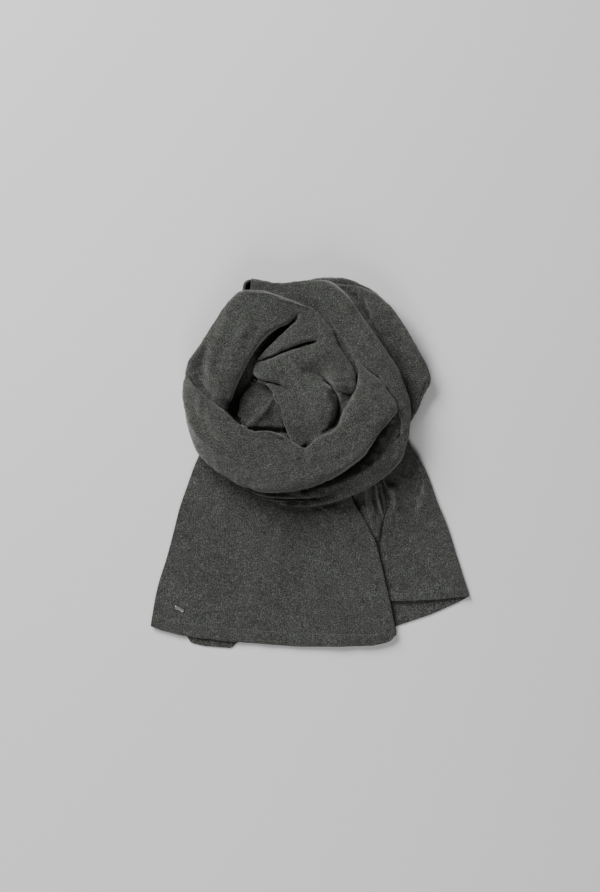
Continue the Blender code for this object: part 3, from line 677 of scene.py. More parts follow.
@dataclass(frozen=True)
class SpunThread(Finish):
    """Grey polyester sewing thread, spun: matt, and a little lighter than the cloth."""

    name: str = "polyester_thread_spun"
    colour: str = "666763"
    twist_mm: float = 0.5

    def inputs(self, tree: NodeTree, place: NodeSocket) -> dict:
        """Shades the thread by its twist.

        Args:
            tree: The material's tree.
            place: The place on the object.

        Returns:
            What each of the shader's inputs is fed.
        """
        shade = spread(tree, noise(tree, place, self.twist_mm), (0.7, 1.3))
        return {"Base Color": shaded(tree, linear(self.colour)[:3], shade), "Roughness": 0.8}


@dataclass(frozen=True)
class BrushedSteel(Finish):
    """Stainless steel, brushed along the bar: fine lines that stretch its highlights."""

    name: str = "stainless_steel_brushed"
    colour: str = "E3E4E4"
    line_mm: float = 0.35
    stretch: float = 0.06

    def inputs(self, tree: NodeTree, place: NodeSocket) -> dict:
        """Draws the brushed lines along the bar.

        Args:
            tree: The material's tree.
            place: The place on the object.

        Returns:
            What each of the shader's inputs is fed.
        """
        along = {"Vector": place, "Rotation": (0.0, 0.0, -TrimBar().turn), "Scale": (self.stretch, 1.0, 1.0)}
        lines = noise(tree, add_node(tree, "ShaderNodeMapping", along, "Vector"), self.line_mm, 3.0)
        return {
            "Base Color": linear(self.colour),
            "Metallic": 1.0,
            "Roughness": spread(tree, lines, (0.2, 0.42)),
            "Normal": bumped(tree, lines, 0.15, 0.1),
        }


@dataclass(frozen=True)
class PaintedBoard(Finish):
    """The plain pale floor: matt painted board."""

    name: str = "board_painted_matt"
    colour: str = "EDEDEE"
    cloud_mm: float = 1000 / 1.2

    def inputs(self, tree: NodeTree, place: NodeSocket) -> dict:
        """Clouds the paint a little.

        Args:
            tree: The material's tree.
            place: The place on the object.

        Returns:
            What each of the shader's inputs is fed.
        """
        shade = spread(tree, noise(tree, place, self.cloud_mm, 1.0), (0.98, 1.02))
        colour = shaded(tree, linear(self.colour)[:3], shade)
        return {"Base Color": colour, "Roughness": 0.9, "Specular IOR Level": 0.2}


def linked(name: str, data: ID) -> Object:
    """Puts a mesh, a lamp or a camera in the scene.

    Args:
        name: Its object's name.
        data: The mesh, lamp or camera.

    Returns:
        The object.
    """
    made = bpy.data.objects.new(name, data)
    bpy.context.scene.collection.objects.link(made)
    return made


def worked_out(rough: Object) -> Mesh:
    """Makes a plain mesh of an object with its modifiers, and removes the object.

    Args:
        rough: The object.

    Returns:
        The mesh.
    """
    mesh = bpy.data.meshes.new_from_object(rough.evaluated_get(bpy.context.evaluated_depsgraph_get()))
    bpy.data.objects.remove(rough, do_unlink=True)
    return mesh


def meshed(name: str, shape: bmesh.types.BMesh) -> Mesh:
    """Makes a mesh of a shape, which is used up.

    Args:
        name: The mesh's name.
        shape: The shape.

    Returns:
        The mesh.
    """
    mesh = bpy.data.meshes.new(name)
    shape.to_mesh(mesh)
    shape.free()
    return mesh


def mapped(mesh: Mesh, uvs: np.ndarray) -> None:
    """Gives a mesh the cloth's own map.

    Args:
        mesh: The mesh.
        uvs: u and v for each of its points.
    """
    corners = np.empty(len(mesh.loops), dtype=np.int32)
    mesh.loops.foreach_get("vertex_index", corners)
    mesh.uv_layers.new(name="cloth").data.foreach_set("uv", uvs[corners].astype(np.float32).ravel())


def hang(made: Object, node: str = "") -> None:
    """Hangs a piece on the frame.

    Args:
        made: The piece.
        node: The solid that it replaces, if it does.
    """
    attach(made, "root")
    if node:
        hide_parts(node)
    LOG.info("%s: %d faces", made.name, len(made.data.polygons))


def unit(vectors: np.ndarray) -> np.ndarray:
    """Makes vectors one long."""
    return vectors / np.maximum(np.linalg.norm(vectors, axis=-1, keepdims=True), 1e-9)


def running_length(line: np.ndarray, extra: float = 0.0) -> np.ndarray:
    """Measures how far along a line its points are, with something extra for each step."""
    return np.concatenate([[0], np.cumsum(np.linalg.norm(np.diff(line, axis=0), axis=1) + extra)])


def hermite(
    start: np.ndarray, end: np.ndarray, leaving: np.ndarray, arriving: np.ndarray, t: float | np.ndarray
) -> np.ndarray:
    """Reads a smooth curve between two rows.

    Args:
        start: The first row.
        end: The next row.
        leaving: The slope at the first row.
        arriving: The slope at the next row.
        t: The share of the way between them.

    Returns:
        What the curve says there.
    """
    return (
        start * (2 * t**3 - 3 * t**2 + 1)
        + end * (3 * t**2 - 2 * t**3)
        + leaving * (t**3 - 2 * t**2 + t)
        + arriving * (t**3 - t**2)
    )


def smooth_rows(table: tuple, places: np.ndarray) -> np.ndarray:
    """Reads rows along a smooth curve through a table's rows.

    Args:
        table: Rows of numbers. The curve's length is measured along the middle of a section's edges,
            or along the first pair of any other row.
        places: Where to read, from 0 to 1.

    Returns:
        A row for each place.
    """
    rows = np.array(table, float)
    wound = rows.shape[1] == len(Section._fields)
    middle = (rows[:, 0:2] + rows[:, 3:5]) / 2 if wound else rows[:, 0:2]
    along = running_length(middle, ROW_GAP)
    slope = np.gradient(rows, along, axis=0)
    found = []
    for place in np.array(places) * along[-1]:
        i = min(int(np.searchsorted(along, place, side="right")) - 1, len(rows) - 2)
        step = along[i + 1] - along[i]
        found.append(hermite(rows[i], rows[i + 1], slope[i] * step, slope[i + 1] * step, (place - along[i]) / step))
    return np.array(found)


def even_points(line: np.ndarray, count: int) -> np.ndarray:
    """Spaces points evenly along a line.

    Args:
        line: The line's points.
        count: How many to make.

    Returns:
        The new points.
    """
    along = running_length(line)
    places = np.linspace(0, along[-1], count)
    return np.stack([np.interp(places, along, line[:, k]) for k in range(line.shape[1])], axis=1)


def rolled_edge(height: float, drop: float) -> np.ndarray:
    """Draws an edge that rolls under, from its lowest point up.

    Args:
        height: The edge's height.
        drop: How far it drops as it rolls under.

    Returns:
        How far in each point is, and its height.
    """
    drop = drop if drop > LEAST_DROP else 0.0
    turn = math.sqrt(1.3 * BAND_WALL * drop)
    sweep = np.linspace(UNDER_SWEEP, 0, 30, endpoint=False)
    return np.stack([turn * (1 - np.cos(sweep)), height - drop * np.sin(sweep)], axis=1)


def section_line(values: np.ndarray, count: int, roundness: float) -> np.ndarray:
    """Draws one section of a wound stretch: rolled under, arched, rolled under again.

    Args:
        values: A row of the stretch's table.
        count: How many points to make.
        roundness: The arch's power; 2 is an ellipse, and more is flatter on top.

    Returns:
        The section's points.
    """
    row = Section(*values)
    across = np.array([row.in_x - row.out_x, row.in_y - row.out_y])
    width = np.linalg.norm(across)
    share = -np.cos(np.linspace(0, math.pi, 160))
    place = (1 + share) / 2
    drops = row.out_drop + (row.in_drop - row.out_drop) * place
    rolled = np.clip(drops / ROLLED_DROP, 0, 1)
    power = SELVEDGE_POWER + (1 / roundness - SELVEDGE_POWER) * rolled
    rise = np.clip(1 - np.abs(share) ** roundness, 0, 1) ** power
    arch = np.stack([width * place, row.out_z + (row.in_z - row.out_z) * place + row.crown * rise], 1)
    outer = rolled_edge(row.out_z, row.out_drop)
    inner = rolled_edge(row.in_z, row.in_drop)[::-1]
    inner[:, 0] = width - inner[:, 0]
    line = even_points(np.concatenate([outer, arch, inner]), count)
    ahead = across / width
    return np.stack([row.out_x + ahead[0] * line[:, 0], row.out_y + ahead[1] * line[:, 0], line[:, 1]], 1)


def normals_of(grid: np.ndarray, column: int) -> np.ndarray:
    """Finds the unit normal at each point of a grid.

    Args:
        grid: The grid's points.
        column: A column that faces up.

    Returns:
        The normals, facing out of the cloth.
    """
    found = np.cross(np.gradient(grid, axis=0), np.gradient(grid, axis=1))
    return unit(found) * (1 if found[:, column, 2].mean() > 0 else -1)


def blurred(values: np.ndarray, along: int, across: int) -> np.ndarray:
    """Blurs a field on a grid.

    Args:
        values: The field.
        along: Rounds of blur down the rows.
        across: Rounds of blur over the columns.

    Returns:
        The blurred field.
    """
    for rounds, axis in ((along, 0), (across, 1)):
        for _ in range(rounds):
            edges = [(1, 1) if k == axis else (0, 0) for k in range(2)]
            padded = np.pad(values, edges, mode="edge")
            low, high = (padded[:-2], padded[2:]) if axis == 0 else (padded[:, :-2], padded[:, 2:])
            values = values / 2 + (low + high) / 4
    return values


def rumple(flat: np.ndarray, size: float, seed: int) -> np.ndarray:
    """Makes a smooth random field of about unit strength.

    Args:
        flat: Where to read it: two numbers for each point.
        size: The usual distance from crest to crest.
        seed: Chooses the field.

    Returns:
        The field's value at each point.
    """
    chance = np.random.default_rng(seed)
    total = np.zeros(flat.shape[:-1])
    for _ in range(WAVES):
        turn = chance.uniform(0, 2 * math.pi)
        wave = 2 * math.pi / (size * chance.uniform(0.7, 1.6))
        start = chance.uniform(0, 2 * math.pi)
        total += np.sin(wave * (flat[..., 0] * math.cos(turn) + flat[..., 1] * math.sin(turn)) + start)
    return total / math.sqrt(WAVES / 2)


def bend_points(row: Fold) -> np.ndarray:
    """Draws a broad fold's bend.

    Args:
        row: The fold.

    Returns:
        Points along it.
    """
    t = np.linspace(0, 1, 18)[:, None]
    first, second, third = np.array(row[:6], float).reshape(3, 2)
    middle = 2 * second - (first + third) / 2
    return first * (1 - t) ** 2 + middle * 2 * t * (1 - t) + third * t**2


def seen(path: tuple) -> np.ndarray:
    """Turns places in the photograph into places above the floor, in millimetres.

    Args:
        path: Places across and down, in pixels.

    Returns:
        The same places, as x and y.
    """
    places = np.array(path, float)
    return np.stack([(places[:, 0] - MIDDLE[0]) * PIXEL, (MIDDLE[1] - places[:, 1]) * PIXEL], axis=1)


def softened_path(path: np.ndarray) -> np.ndarray:
    """Bends a path smoothly through its points.

    Args:
        path: The points.

    Returns:
        The smooth path.
    """
    slope = np.gradient(path, axis=0)
    t = np.linspace(0, 1, 7, endpoint=False)[:, None]
    parts = [hermite(path[k], path[k + 1], slope[k], slope[k + 1], t) for k in range(len(path) - 1)]
    return np.concatenate([*parts, path[-1:]])


def near_line(flat: np.ndarray, line: np.ndarray) -> tuple[np.ndarray, np.ndarray, np.ndarray]:
    """Finds how far points are from a line, and whereabouts along it.

    Args:
        flat: The points.
        line: The line's points.

    Returns:
        The distance, which is positive on the line's left, the share of the way along it, and the
        distance beyond its ends.
    """
    best, signed, share, beyond = (np.full(flat.shape[:-1], first) for first in (np.inf, 0.0, 0.0, 0.0))
    last = len(line) - 2
    for k in range(last + 1):
        step = line[k + 1] - line[k]
        length = max(float(np.linalg.norm(step)), 1e-9)
        rel = flat - line[k]
        along = (rel @ step) / length
        t = np.clip(along / length, 0, 1)
        off = np.linalg.norm(rel - t[..., None] * step, axis=-1)
        nearer = off < best
        best = np.where(nearer, off, best)
        turn = (step[0] * rel[..., 1] - step[1] * rel[..., 0]) / length
        signed = np.where(nearer, np.where(turn >= 0, off, -off), signed)
        share = np.where(nearer, (k + t) / (last + 1), share)
        past = np.zeros(flat.shape[:-1])
        if k == 0:
            past = np.maximum(past, -along)
        if k == last:
            past = np.maximum(past, along - length)
        beyond = np.where(nearer, past, beyond)
    return signed, share, beyond


def fold_depth(flat: np.ndarray, rows: tuple) -> np.ndarray:
    """Adds up how far broad folds press the cloth down.

    Args:
        flat: The cloth's points, seen from above.
        rows: The folds.

    Returns:
        The depth at each point.
    """
    total = np.zeros(flat.shape[:-1])
    for row in (Fold(*values) for values in rows):
        off, share, _ = near_line(flat, bend_points(row))
        fade = np.sin(math.pi * np.clip(FOLD_START + (1 - 2 * FOLD_START) * share, 0, 1)) ** 0.6
        total += row.depth * fade * np.exp(-((2 * off / row.width) ** 2))
    return total


def eased(first: float, share: np.ndarray) -> np.ndarray:
    """Rises smoothly from a first value to 1 over a crease's fade."""
    t = np.clip(share / CREASE_FADE, 0, 1)
    return first + (1 - first) * t * t * (3 - 2 * t)


def crease_depth(flat: np.ndarray, creases: tuple) -> np.ndarray:
    """Adds up how far creases press the cloth down.

    Args:
        flat: The cloth's points, seen from above.
        creases: The creases.

    Returns:
        The depth at each point.
    """
    total = np.zeros(flat.shape[:-1])
    for k, crease in enumerate(creases):
        off, share, beyond = near_line(flat, softened_path(seen(crease.path)))
        half = crease.width / 2
        off = off + CREASE_WANDER * half * rumple(flat, WANDER_SIZE, WANDER_SEED + k)
        past_end = np.exp(-((np.clip(beyond, 0, None) / (CREASE_END[0] * half + CREASE_END[1])) ** 2))
        strength = np.minimum(eased(crease.start, share), eased(crease.end, 1 - share)) * past_end
        low_side = LOW_SIDE * half * np.sign(crease.lap)
        trough = np.exp(-(((off + low_side) / half) ** 2))
        beside = (np.abs(off) - SHOULDER_PLACE * half) / (SHOULDER_WIDTH * half)
        shoulder = 0 if crease.lap else np.exp(-(beside**2))
        total += strength * crease.depth * (trough - SHOULDER_RISE * shoulder)
        if crease.lap:
            inward = off * np.sign(crease.lap)
            over = np.clip(inward / LAP_ROUND, 0, 1)
            back = np.exp(-np.clip(inward - LAP_ROUND, 0, None) / crease.reach)
            total -= strength * abs(crease.lap) * np.sqrt(1 - (1 - over) ** 2) * back
    return total


def seated(
    grid: np.ndarray, node: str, normals: np.ndarray, soft: tuple[int, int], lifts: tuple[float, float]
) -> np.ndarray:
    """Lifts a surface onto its solid, which lies on the cloth below it.

    Args:
        grid: The surface's points.
        node: The solid's name.
        normals: The surface's normals.
        soft: Rounds of blur for the lift, along and across.
        lifts: The least and the most; a lift beyond them is another layer's, and is left out.

    Returns:
        The lifted surface.
    """
    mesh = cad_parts[node].data
    tree = BVHTree.FromPolygons([v.co / MM for v in mesh.vertices], [tuple(p.vertices) for p in mesh.polygons])
    lift, known = np.zeros(grid.shape[:2]), np.zeros(grid.shape[:2])
    for i in range(0, grid.shape[0], 2):
        for j in range(0, grid.shape[1], 2):
            if normals[i, j, 2] < FACING_UP:
                continue
            x, y, z = grid[i, j]
            hit = tree.ray_cast(Vector((x, y, ABOVE_ALL)), Vector((0, 0, -1)))[0]
            if hit and lifts[0] < hit.z - z < lifts[1]:
                lift[i, j] = hit.z - z
                known[i, j] = 1
    weight = blurred(known, *soft)
    raised = grid.copy()
    raised[:, :, 2] += np.where(weight > 1e-6, blurred(lift, *soft) / np.maximum(weight, 1e-6), 0)
    return raised


def cloth_uv(grid: np.ndarray, column: int) -> np.ndarray:
    """Lays a map on the cloth, in metres: u across the wales and v along them.

    Args:
        grid: The cloth's points.
        column: The column where u is 0 and v is measured.

    Returns:
        u and v at each point.
    """
    across = np.linalg.norm(np.diff(grid, axis=1), axis=2)
    u = np.concatenate([np.zeros((len(grid), 1)), np.cumsum(across, axis=1)], axis=1)
    u -= u[:, column : column + 1]
    return np.dstack([u, np.repeat(running_length(grid[:, column])[:, None], grid.shape[1], axis=1)]) * MM


def lengthwise(uv: np.ndarray, stretch: float) -> np.ndarray:
    """Turns the cloth's map into places where a rumple is longer along the cloth than across it."""
    return np.dstack([uv[:, :, 1] / stretch, uv[:, :, 0]]) / MM


def cloth_object(
    name: str, grid: np.ndarray, normals: np.ndarray, uv: np.ndarray, wall: float, look: Material
) -> Object:
    """Makes a closed piece of cloth with soft round edges.

    Args:
        name: The piece's name.
        grid: Points of its outer face, in millimetres.
        normals: Their normals.
        uv: The cloth's own map.
        wall: The cloth's thickness.
        look: Its material.

    Returns:
        The piece.
    """
    index = np.arange(grid.shape[0] * grid.shape[1]).reshape(grid.shape[:2])
    rim = np.concatenate([index[0, :-1], index[:-1, -1], index[-1, :0:-1], index[:0:-1, 0]])
    flat, out, at = grid.reshape(-1, 3), normals.reshape(-1, 3), uv.reshape(-1, 2)
    inner = flat - wall * out
    inward = grid.copy()
    inward[0], inward[-1] = grid[1], grid[-2]
    inward[1:-1, 0], inward[1:-1, -1] = grid[1:-1, 1], grid[1:-1, -2]
    side = flat[rim] - inward.reshape(-1, 3)[rim]
    side = unit(side - np.sum(side * out[rim], axis=1, keepdims=True) * out[rim])
    rings = [
        (flat[rim] + inner[rim]) / 2 + wall / 2 * (math.cos(a) * out[rim] + EDGE_BULGE * math.sin(a) * side)
        for a in np.linspace(0, math.pi, 6)[1:-1]
    ]
    points = np.concatenate([flat, inner, *rings])
    points[:, 2] = np.maximum(points[:, 2], 0.0)
    outer = np.stack([index[:-1, :-1], index[1:, :-1], index[1:, 1:], index[:-1, 1:]], axis=-1).reshape(-1, 4)
    turned = np.dot(np.cross(grid[1, 0] - grid[0, 0], grid[0, 1] - grid[0, 0]), normals[0, 0]) < 0
    outer = outer[:, ::-1] if turned else outer
    count = len(flat)
    chain = [rim] + [2 * count + k * len(rim) + np.arange(len(rim)) for k in range(len(rings))] + [rim + count]
    strips = []
    for first, second in zip(chain, chain[1:], strict=False):
        quad = np.stack([first, np.roll(first, -1), np.roll(second, -1), second], axis=1)
        strips.append(quad if turned else quad[:, ::-1])
    faces = np.concatenate([outer, outer[:, ::-1] + count, *strips])
    mesh = bpy.data.meshes.new(name)
    mesh.from_pydata((points * MM).tolist(), [], faces.tolist())
    mapped(mesh, np.concatenate([at, at] + [at[rim]] * len(rings)))
    clear = np.zeros(len(mesh.polygons), dtype=bool)
    clear[: len(outer)] = flat[outer[:, 0], 2] > NAP_LOWEST
    mesh.attributes.new("shows", "BOOLEAN", "FACE").data.foreach_set("value", clear)
    shape = bmesh.new()
    shape.from_mesh(mesh)
    bmesh.ops.recalc_face_normals(shape, faces=shape.faces)
    shape.to_mesh(mesh)
    shape.free()
    mesh.shade_smooth()
    mesh.materials.append(look)
    return linked(name, mesh)


@dataclass
class Piece:
    """A stretch of the one long cloth, in place of one solid."""

    node: str
    cut: tuple[float, float]  # the flat size of what shows, in metres
    rests_on: tuple[str, ...]
    held: Held = Held.FOLDED
    made: Object = field(default=None, repr=False)

    def seed(self) -> int:
        """Chooses the stretch's own random fields."""
        return sum(ord(letter) for letter in self.node)

    def declare(self, extras: tuple = ()) -> None:
        """Hangs the piece on the frame.

        Args:
            extras: Separate pieces that are sewn on it; not used.
        """
        hang(self.made, self.node)


@dataclass
class WoundStretch(Piece):
    """A stretch of the wound ring."""

    table: tuple = ()
    stations: int = 200
    points: int = 70
    roundness: float = ROUNDNESS
    seat: tuple[int, int] = (60, 30)
    lifts: tuple[float, float] = (-16.0, 16.0)
    rumple_depth: float = 0.7
    swell_size: float = 26.0  # from crest to crest, and so are the next two
    broad_size: float = 38.0
    fine_size: float = 12.0
    broad_share: float = 0.5
    fine_share: float = 0.22
    stretch: float = 3.2  # how much longer a swell is along the cloth
    lowest: float = 0.4

    def build(self, look: Material) -> None:
        """Makes the stretch's shell.

        Args:
            look: Its material.
        """
        middle = self.points // 2
        rows = smooth_rows(self.table, np.linspace(0, 1, self.stations))
        grid = np.array([section_line(values, self.points, self.roundness) for values in rows])
        normals = normals_of(grid, middle)
        up = np.clip(normals[:, :, 2], 0, 1)
        grid[:, :, 2] -= fold_depth(grid[:, :, :2], MAIN_FOLDS[self.node]) * up
        grid = seated(grid, self.node, normals, self.seat, self.lifts)
        uv = cloth_uv(grid, middle)
        flat, seed = grid[:, :, :2], self.seed()
        swell = rumple(lengthwise(uv, self.stretch), self.swell_size, seed)
        swell += self.broad_share * rumple(flat, self.broad_size, seed + 1)
        fine = self.fine_share * rumple(flat, self.fine_size, seed + 2)
        normals = normals_of(grid, middle)
        grid = grid + (self.rumple_depth * (swell + fine))[:, :, None] * normals
        facing_up = np.clip(2.2 * normals[:, :, 2] - 0.1, 0, 1)
        grid[:, :, 2] -= crease_depth(grid[:, :, :2], CREASES[self.node]) * facing_up
        grid[:, :, 2] = np.maximum(grid[:, :, 2], self.lowest)
        self.made = cloth_object(f"{self.node}_knit", grid, normals_of(grid, middle), uv, BAND_WALL, look)


@dataclass
class RolledEnd:
    """The open end of the outer loop's roll: its lower layer, which curls up past the upper one."""

    rim: tuple = ((245, 296), (242.3, 291), (242.6, 286), (244, 282), (248, 279.3), (254, 278.6))
    profile: tuple = ((34, 4.5), (20, 3.6), (11, 3.4), (5, 5), (1.2, 10), (0, 15), (0.6, 19), (2.2, 21.5))
    inward: tuple[float, float] = (0.93, -0.37)
    rumple_depth: float = 0.4
    made: Object = field(default=None, repr=False)

    def build(self, look: Material) -> None:
        """Makes the curled layer.

        Args:
            look: Its material.
        """
        rim = even_points(softened_path(seen(self.rim)), 44)
        profile = even_points(softened_path(np.array(self.profile, float)), 36)
        grid = np.empty((len(rim), len(profile), 3))
        grid[:, :, :2] = rim[:, None] + np.array(self.inward) * profile[None, :, :1]
        grid[:, :, 2] = profile[None, :, 1] + self.rumple_depth * rumple(grid[:, :, :2], 14, 3)
        normals, uv = -normals_of(grid, 4), cloth_uv(grid, 18)
        self.made = cloth_object("loop_outer_end_knit", grid, normals, uv, BAND_WALL, look)
        hang(self.made)


@dataclass
class FoldedTail(Piece):
    """A tail: a layer underneath, the soft fold, and a layer on top, with a hem across both."""

    table: tuple = ()
    hem: tuple = ()
    stations: int = 130
    top_points: int = 180
    under_points: int = 110
    hem_rows: int = 14
    hem_lift: float = 1.2  # how far the hem's middle stands off the floor
    lift_reach: float = 3.5  # how far up the tail that goes, in depths of the hem
    stitch_line: float = 1.08  # where the stitches are, in depths of the hem
    stitch_dent: float = 0.7
    stitch_width: float = 0.1
    hem_start: float = 1.2  # where the closer rows at the hem start, in depths of the hem
    hem_step: float = 9.0  # how sharply the hem stands up
    pressed: float = 0.0  # how much flatter than its solid the fold lies
    pull_reach: float = 8.0  # how far in the layers give way to the fold's bend
    first_seated: int = 6  # points beyond the bend that aren't lifted
    seat: tuple[int, int] = (24, 24)
    lifts: tuple[float, float] = (-3.5, 12.0)
    swell_size: float = 34.0
    swell_depth: float = 0.45
    broad_size: float = 60.0
    broad_depth: float = 0.25
    stretch: float = 4.0  # how much longer a swell is along the cloth
    settling: float = 8.0  # how soon beyond the fold the swells and creases reach full depth
    hem_line: np.ndarray = field(default=None, repr=False)

    def layers(self, places: np.ndarray) -> tuple[np.ndarray, np.ndarray, np.ndarray]:
        """Lays out the two layers, seen from above.

        Args:
            places: Where the rows are along the tail, from 0 to 1.

        Returns:
            The top layer, the layer underneath, and the way out past the fold at each row.
        """
        rows = smooth_rows(self.table, places)
        sags = np.array(self.hem, float)
        spots = np.linspace(-0.03, 1.03, 900)
        lines = []
        for k, count in ((1, self.top_points), (2, self.under_points)):
            across = np.linspace(0, 1, count)
            line = rows[:, None, 0:2] + (rows[:, None, 2 * k : 2 * k + 2] - rows[:, None, 0:2]) * across[:, None]
            sag = np.pad(np.interp(spots, sags[:, 0], sags[:, k]), 6, mode="edge")
            sag = np.convolve(sag, np.ones(13) / 13, mode="valid")
            line[:, :, 1] -= np.interp(across, spots, sag) * (places**6)[:, None]
            lines.append(line)
        outward = unit(lines[0][:, 0] - (lines[0][:, -1] + lines[1][:, -1]) / 2)
        for line in lines:
            pull = np.exp(-np.linalg.norm(line - line[:, :1], axis=2) / self.pull_reach)
            line -= outward[:, None] * FOLD_RADIUS * pull[:, :, None]
        return lines[0], lines[1], outward

    def build(self, look: Material) -> None:
        """Makes the tail's shell.

        Args:
            look: Its material.
        """
        band = HEM_BAND / running_length(np.array(self.table, float)[:, 0:2])[-1]
        body = np.linspace(0, 1 - (self.hem_start + 0.1) * band, self.stations - self.hem_rows)
        places = np.concatenate([body, 1 - band * np.linspace(self.hem_start, 0, self.hem_rows)])
        to_hem = (1 - places) / band
        top, under, outward = self.layers(places)
        thick = 2 * LAYER + LAYER_GAP
        from_fold = np.linalg.norm(top - top[:, :1], axis=2)
        height = thick + (FOLD_HEIGHT - thick) * np.exp(-from_fold / FOLD_REACH)
        raised = HEM_RAISE / (1 + np.exp((to_hem - 1) * self.hem_step))
        dent = self.stitch_dent * np.exp(-(((to_hem - self.stitch_line) / self.stitch_width) ** 2))
        bow = np.sin(math.pi * np.linspace(0, 1, self.top_points)) ** 0.8
        height = height + (raised - dent)[:, None] + self.hem_lift * bow * np.exp(-to_hem / self.lift_reach)[:, None]
        bend = [
            np.column_stack([top[:, 0] + outward * FOLD_RADIUS * math.cos(a), (1 + math.sin(a)) * height[:, 0] / 2])
            for a in np.linspace(-math.pi / 2, math.pi / 2, 13)[1:-1]
        ]
        low = np.dstack([under, np.zeros(under.shape[:2])])[:, :0:-1]
        high = np.dstack([top, height])[:, 1:]
        high[:, :, 2] = np.maximum(high[:, :, 2] - fold_depth(high[:, :, :2], MAIN_FOLDS[self.node]), thick)
        grid = np.concatenate([low, np.stack(bend, axis=1), high], axis=1)
        column = grid.shape[1] - self.top_points // 2
        start = grid.shape[1] - self.top_points + self.first_seated
        normals = normals_of(grid, column)
        lifted = seated(grid[:, start:], self.node, normals[:, start:], self.seat, self.lifts)
        lifted[:, :, 2] -= self.pressed * np.exp(-from_fold[:, self.first_seated :] / FOLD_REACH)
        grid[:, start:] = lifted
        grid[:, low.shape[1] : start, 2] *= (lifted[:, 0, 2] / height[:, self.first_seated])[:, None]
        uv = cloth_uv(grid, column)
        flat, seed = grid[:, start:, :2], self.seed()
        swell = self.swell_depth * rumple(lengthwise(uv[:, start:], self.stretch), self.swell_size, seed)
        swell += self.broad_depth * rumple(flat, self.broad_size, seed + 1)
        settled = np.clip(np.linspace(0, 1, grid.shape[1] - start) * self.settling, 0, 1)
        grid[:, start:, 2] += (swell - crease_depth(flat, CREASES[self.node])) * settled
        grid[:, start:, 2] = np.maximum(grid[:, start:, 2], thick)
        self.hem_line = grid[int(np.argmin(np.abs(to_hem - self.stitch_line))), start:]
        self.made = cloth_object(f"{self.node}_knit", grid, normals_of(grid, column), uv, LAYER, look)


@dataclass
class PleatedGather(Piece):
    """The pleated cloth between the tails, which runs out in a point."""

    table: tuple = ()
    stations: int = 70
    points: int = 60
    pleats: int = 3
    pleat_rise: float = 9.0
    rise: float = 2 * LAYER + 0.4
    lowest: float = 2 * LAYER + 0.2
    seat: tuple[int, int] = (20, 6)
    lifts: tuple[float, float] = (-12.0, 12.0)

    def build(self, look: Material) -> None:
        """Makes the gather's shell.

        Args:
            look: Its material.
        """
        rows = smooth_rows(self.table, np.linspace(0, 1, self.stations))
        across = np.linspace(0, 1, self.points)
        flat = rows[:, None, 0:2] + (rows[:, None, 2:4] - rows[:, None, 0:2]) * across[:, None]
        wave = np.abs(np.sin(math.pi * self.pleats * across)) ** 0.8
        fade = np.linspace(1, 0.1, self.stations)[:, None]
        grid = np.dstack([flat, self.rise + self.pleat_rise * wave * fade])
        middle = self.points // 2
        grid = seated(grid, self.node, normals_of(grid, middle), self.seat, self.lifts)
        grid[:, :, 2] -= crease_depth(grid[:, :, :2], CREASES[self.node])
        grid[:, :, 2] = np.maximum(grid[:, :, 2], self.lowest)
        uv = cloth_uv(grid, middle)
        self.made = cloth_object(f"{self.node}_knit", grid, normals_of(grid, middle), uv, LAYER, look)


@dataclass
class HiddenLayers:
    """The layers inside and under the ring, which hardly show."""

    node: str = "hidden_layers"
    spread: float = 0.24  # how much further they reach under the ring's gap
    spread_turn: float = math.radians(215)
    spread_width: float = 0.42
    rumpling: float = 0.05
    made: Object = field(default=None, repr=False)

    def build(self, look: Material) -> None:
        """Makes a smooth copy of the layered solid, with a soft surface, and hangs it on the frame.

        Args:
            look: Its material.
        """
        shape = bmesh.new()
        shape.from_mesh(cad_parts[self.node].data)
        bmesh.ops.remove_doubles(shape, verts=shape.verts, dist=1e-6)
        rough = linked(self.node, meshed(self.node, shape))
        finer = rough.modifiers.new("finer", "SUBSURF")
        finer.levels = finer.render_levels = 1
        finer.subdivision_type = "SIMPLE"
        smooth = worked_out(rough)
        places = np.empty(len(smooth.vertices) * 3)
        smooth.vertices.foreach_get("co", places)
        places = places.reshape(-1, 3)
        flat = places[:, :2] / MM
        middle = (flat.min(axis=0) + flat.max(axis=0)) / 2
        turn = np.arctan2(flat[:, 1] - middle[1], flat[:, 0] - middle[0]) % (2 * math.pi)
        reach = 1 + self.spread * np.exp(-(((turn - self.spread_turn) / self.spread_width) ** 2))
        places[:, :2] = (middle + (flat - middle) * reach[:, None]) * MM
        places[:, 2] *= 1 - self.rumpling * np.abs(rumple(flat, 20, 5))
        smooth.vertices.foreach_set("co", places.ravel())
        mapped(smooth, places[:, :2])
        smooth.materials.clear()
        smooth.materials.append(look)
        smooth.shade_smooth()
        self.made = linked(f"{self.node}_knit", smooth)
        hang(self.made, self.node)


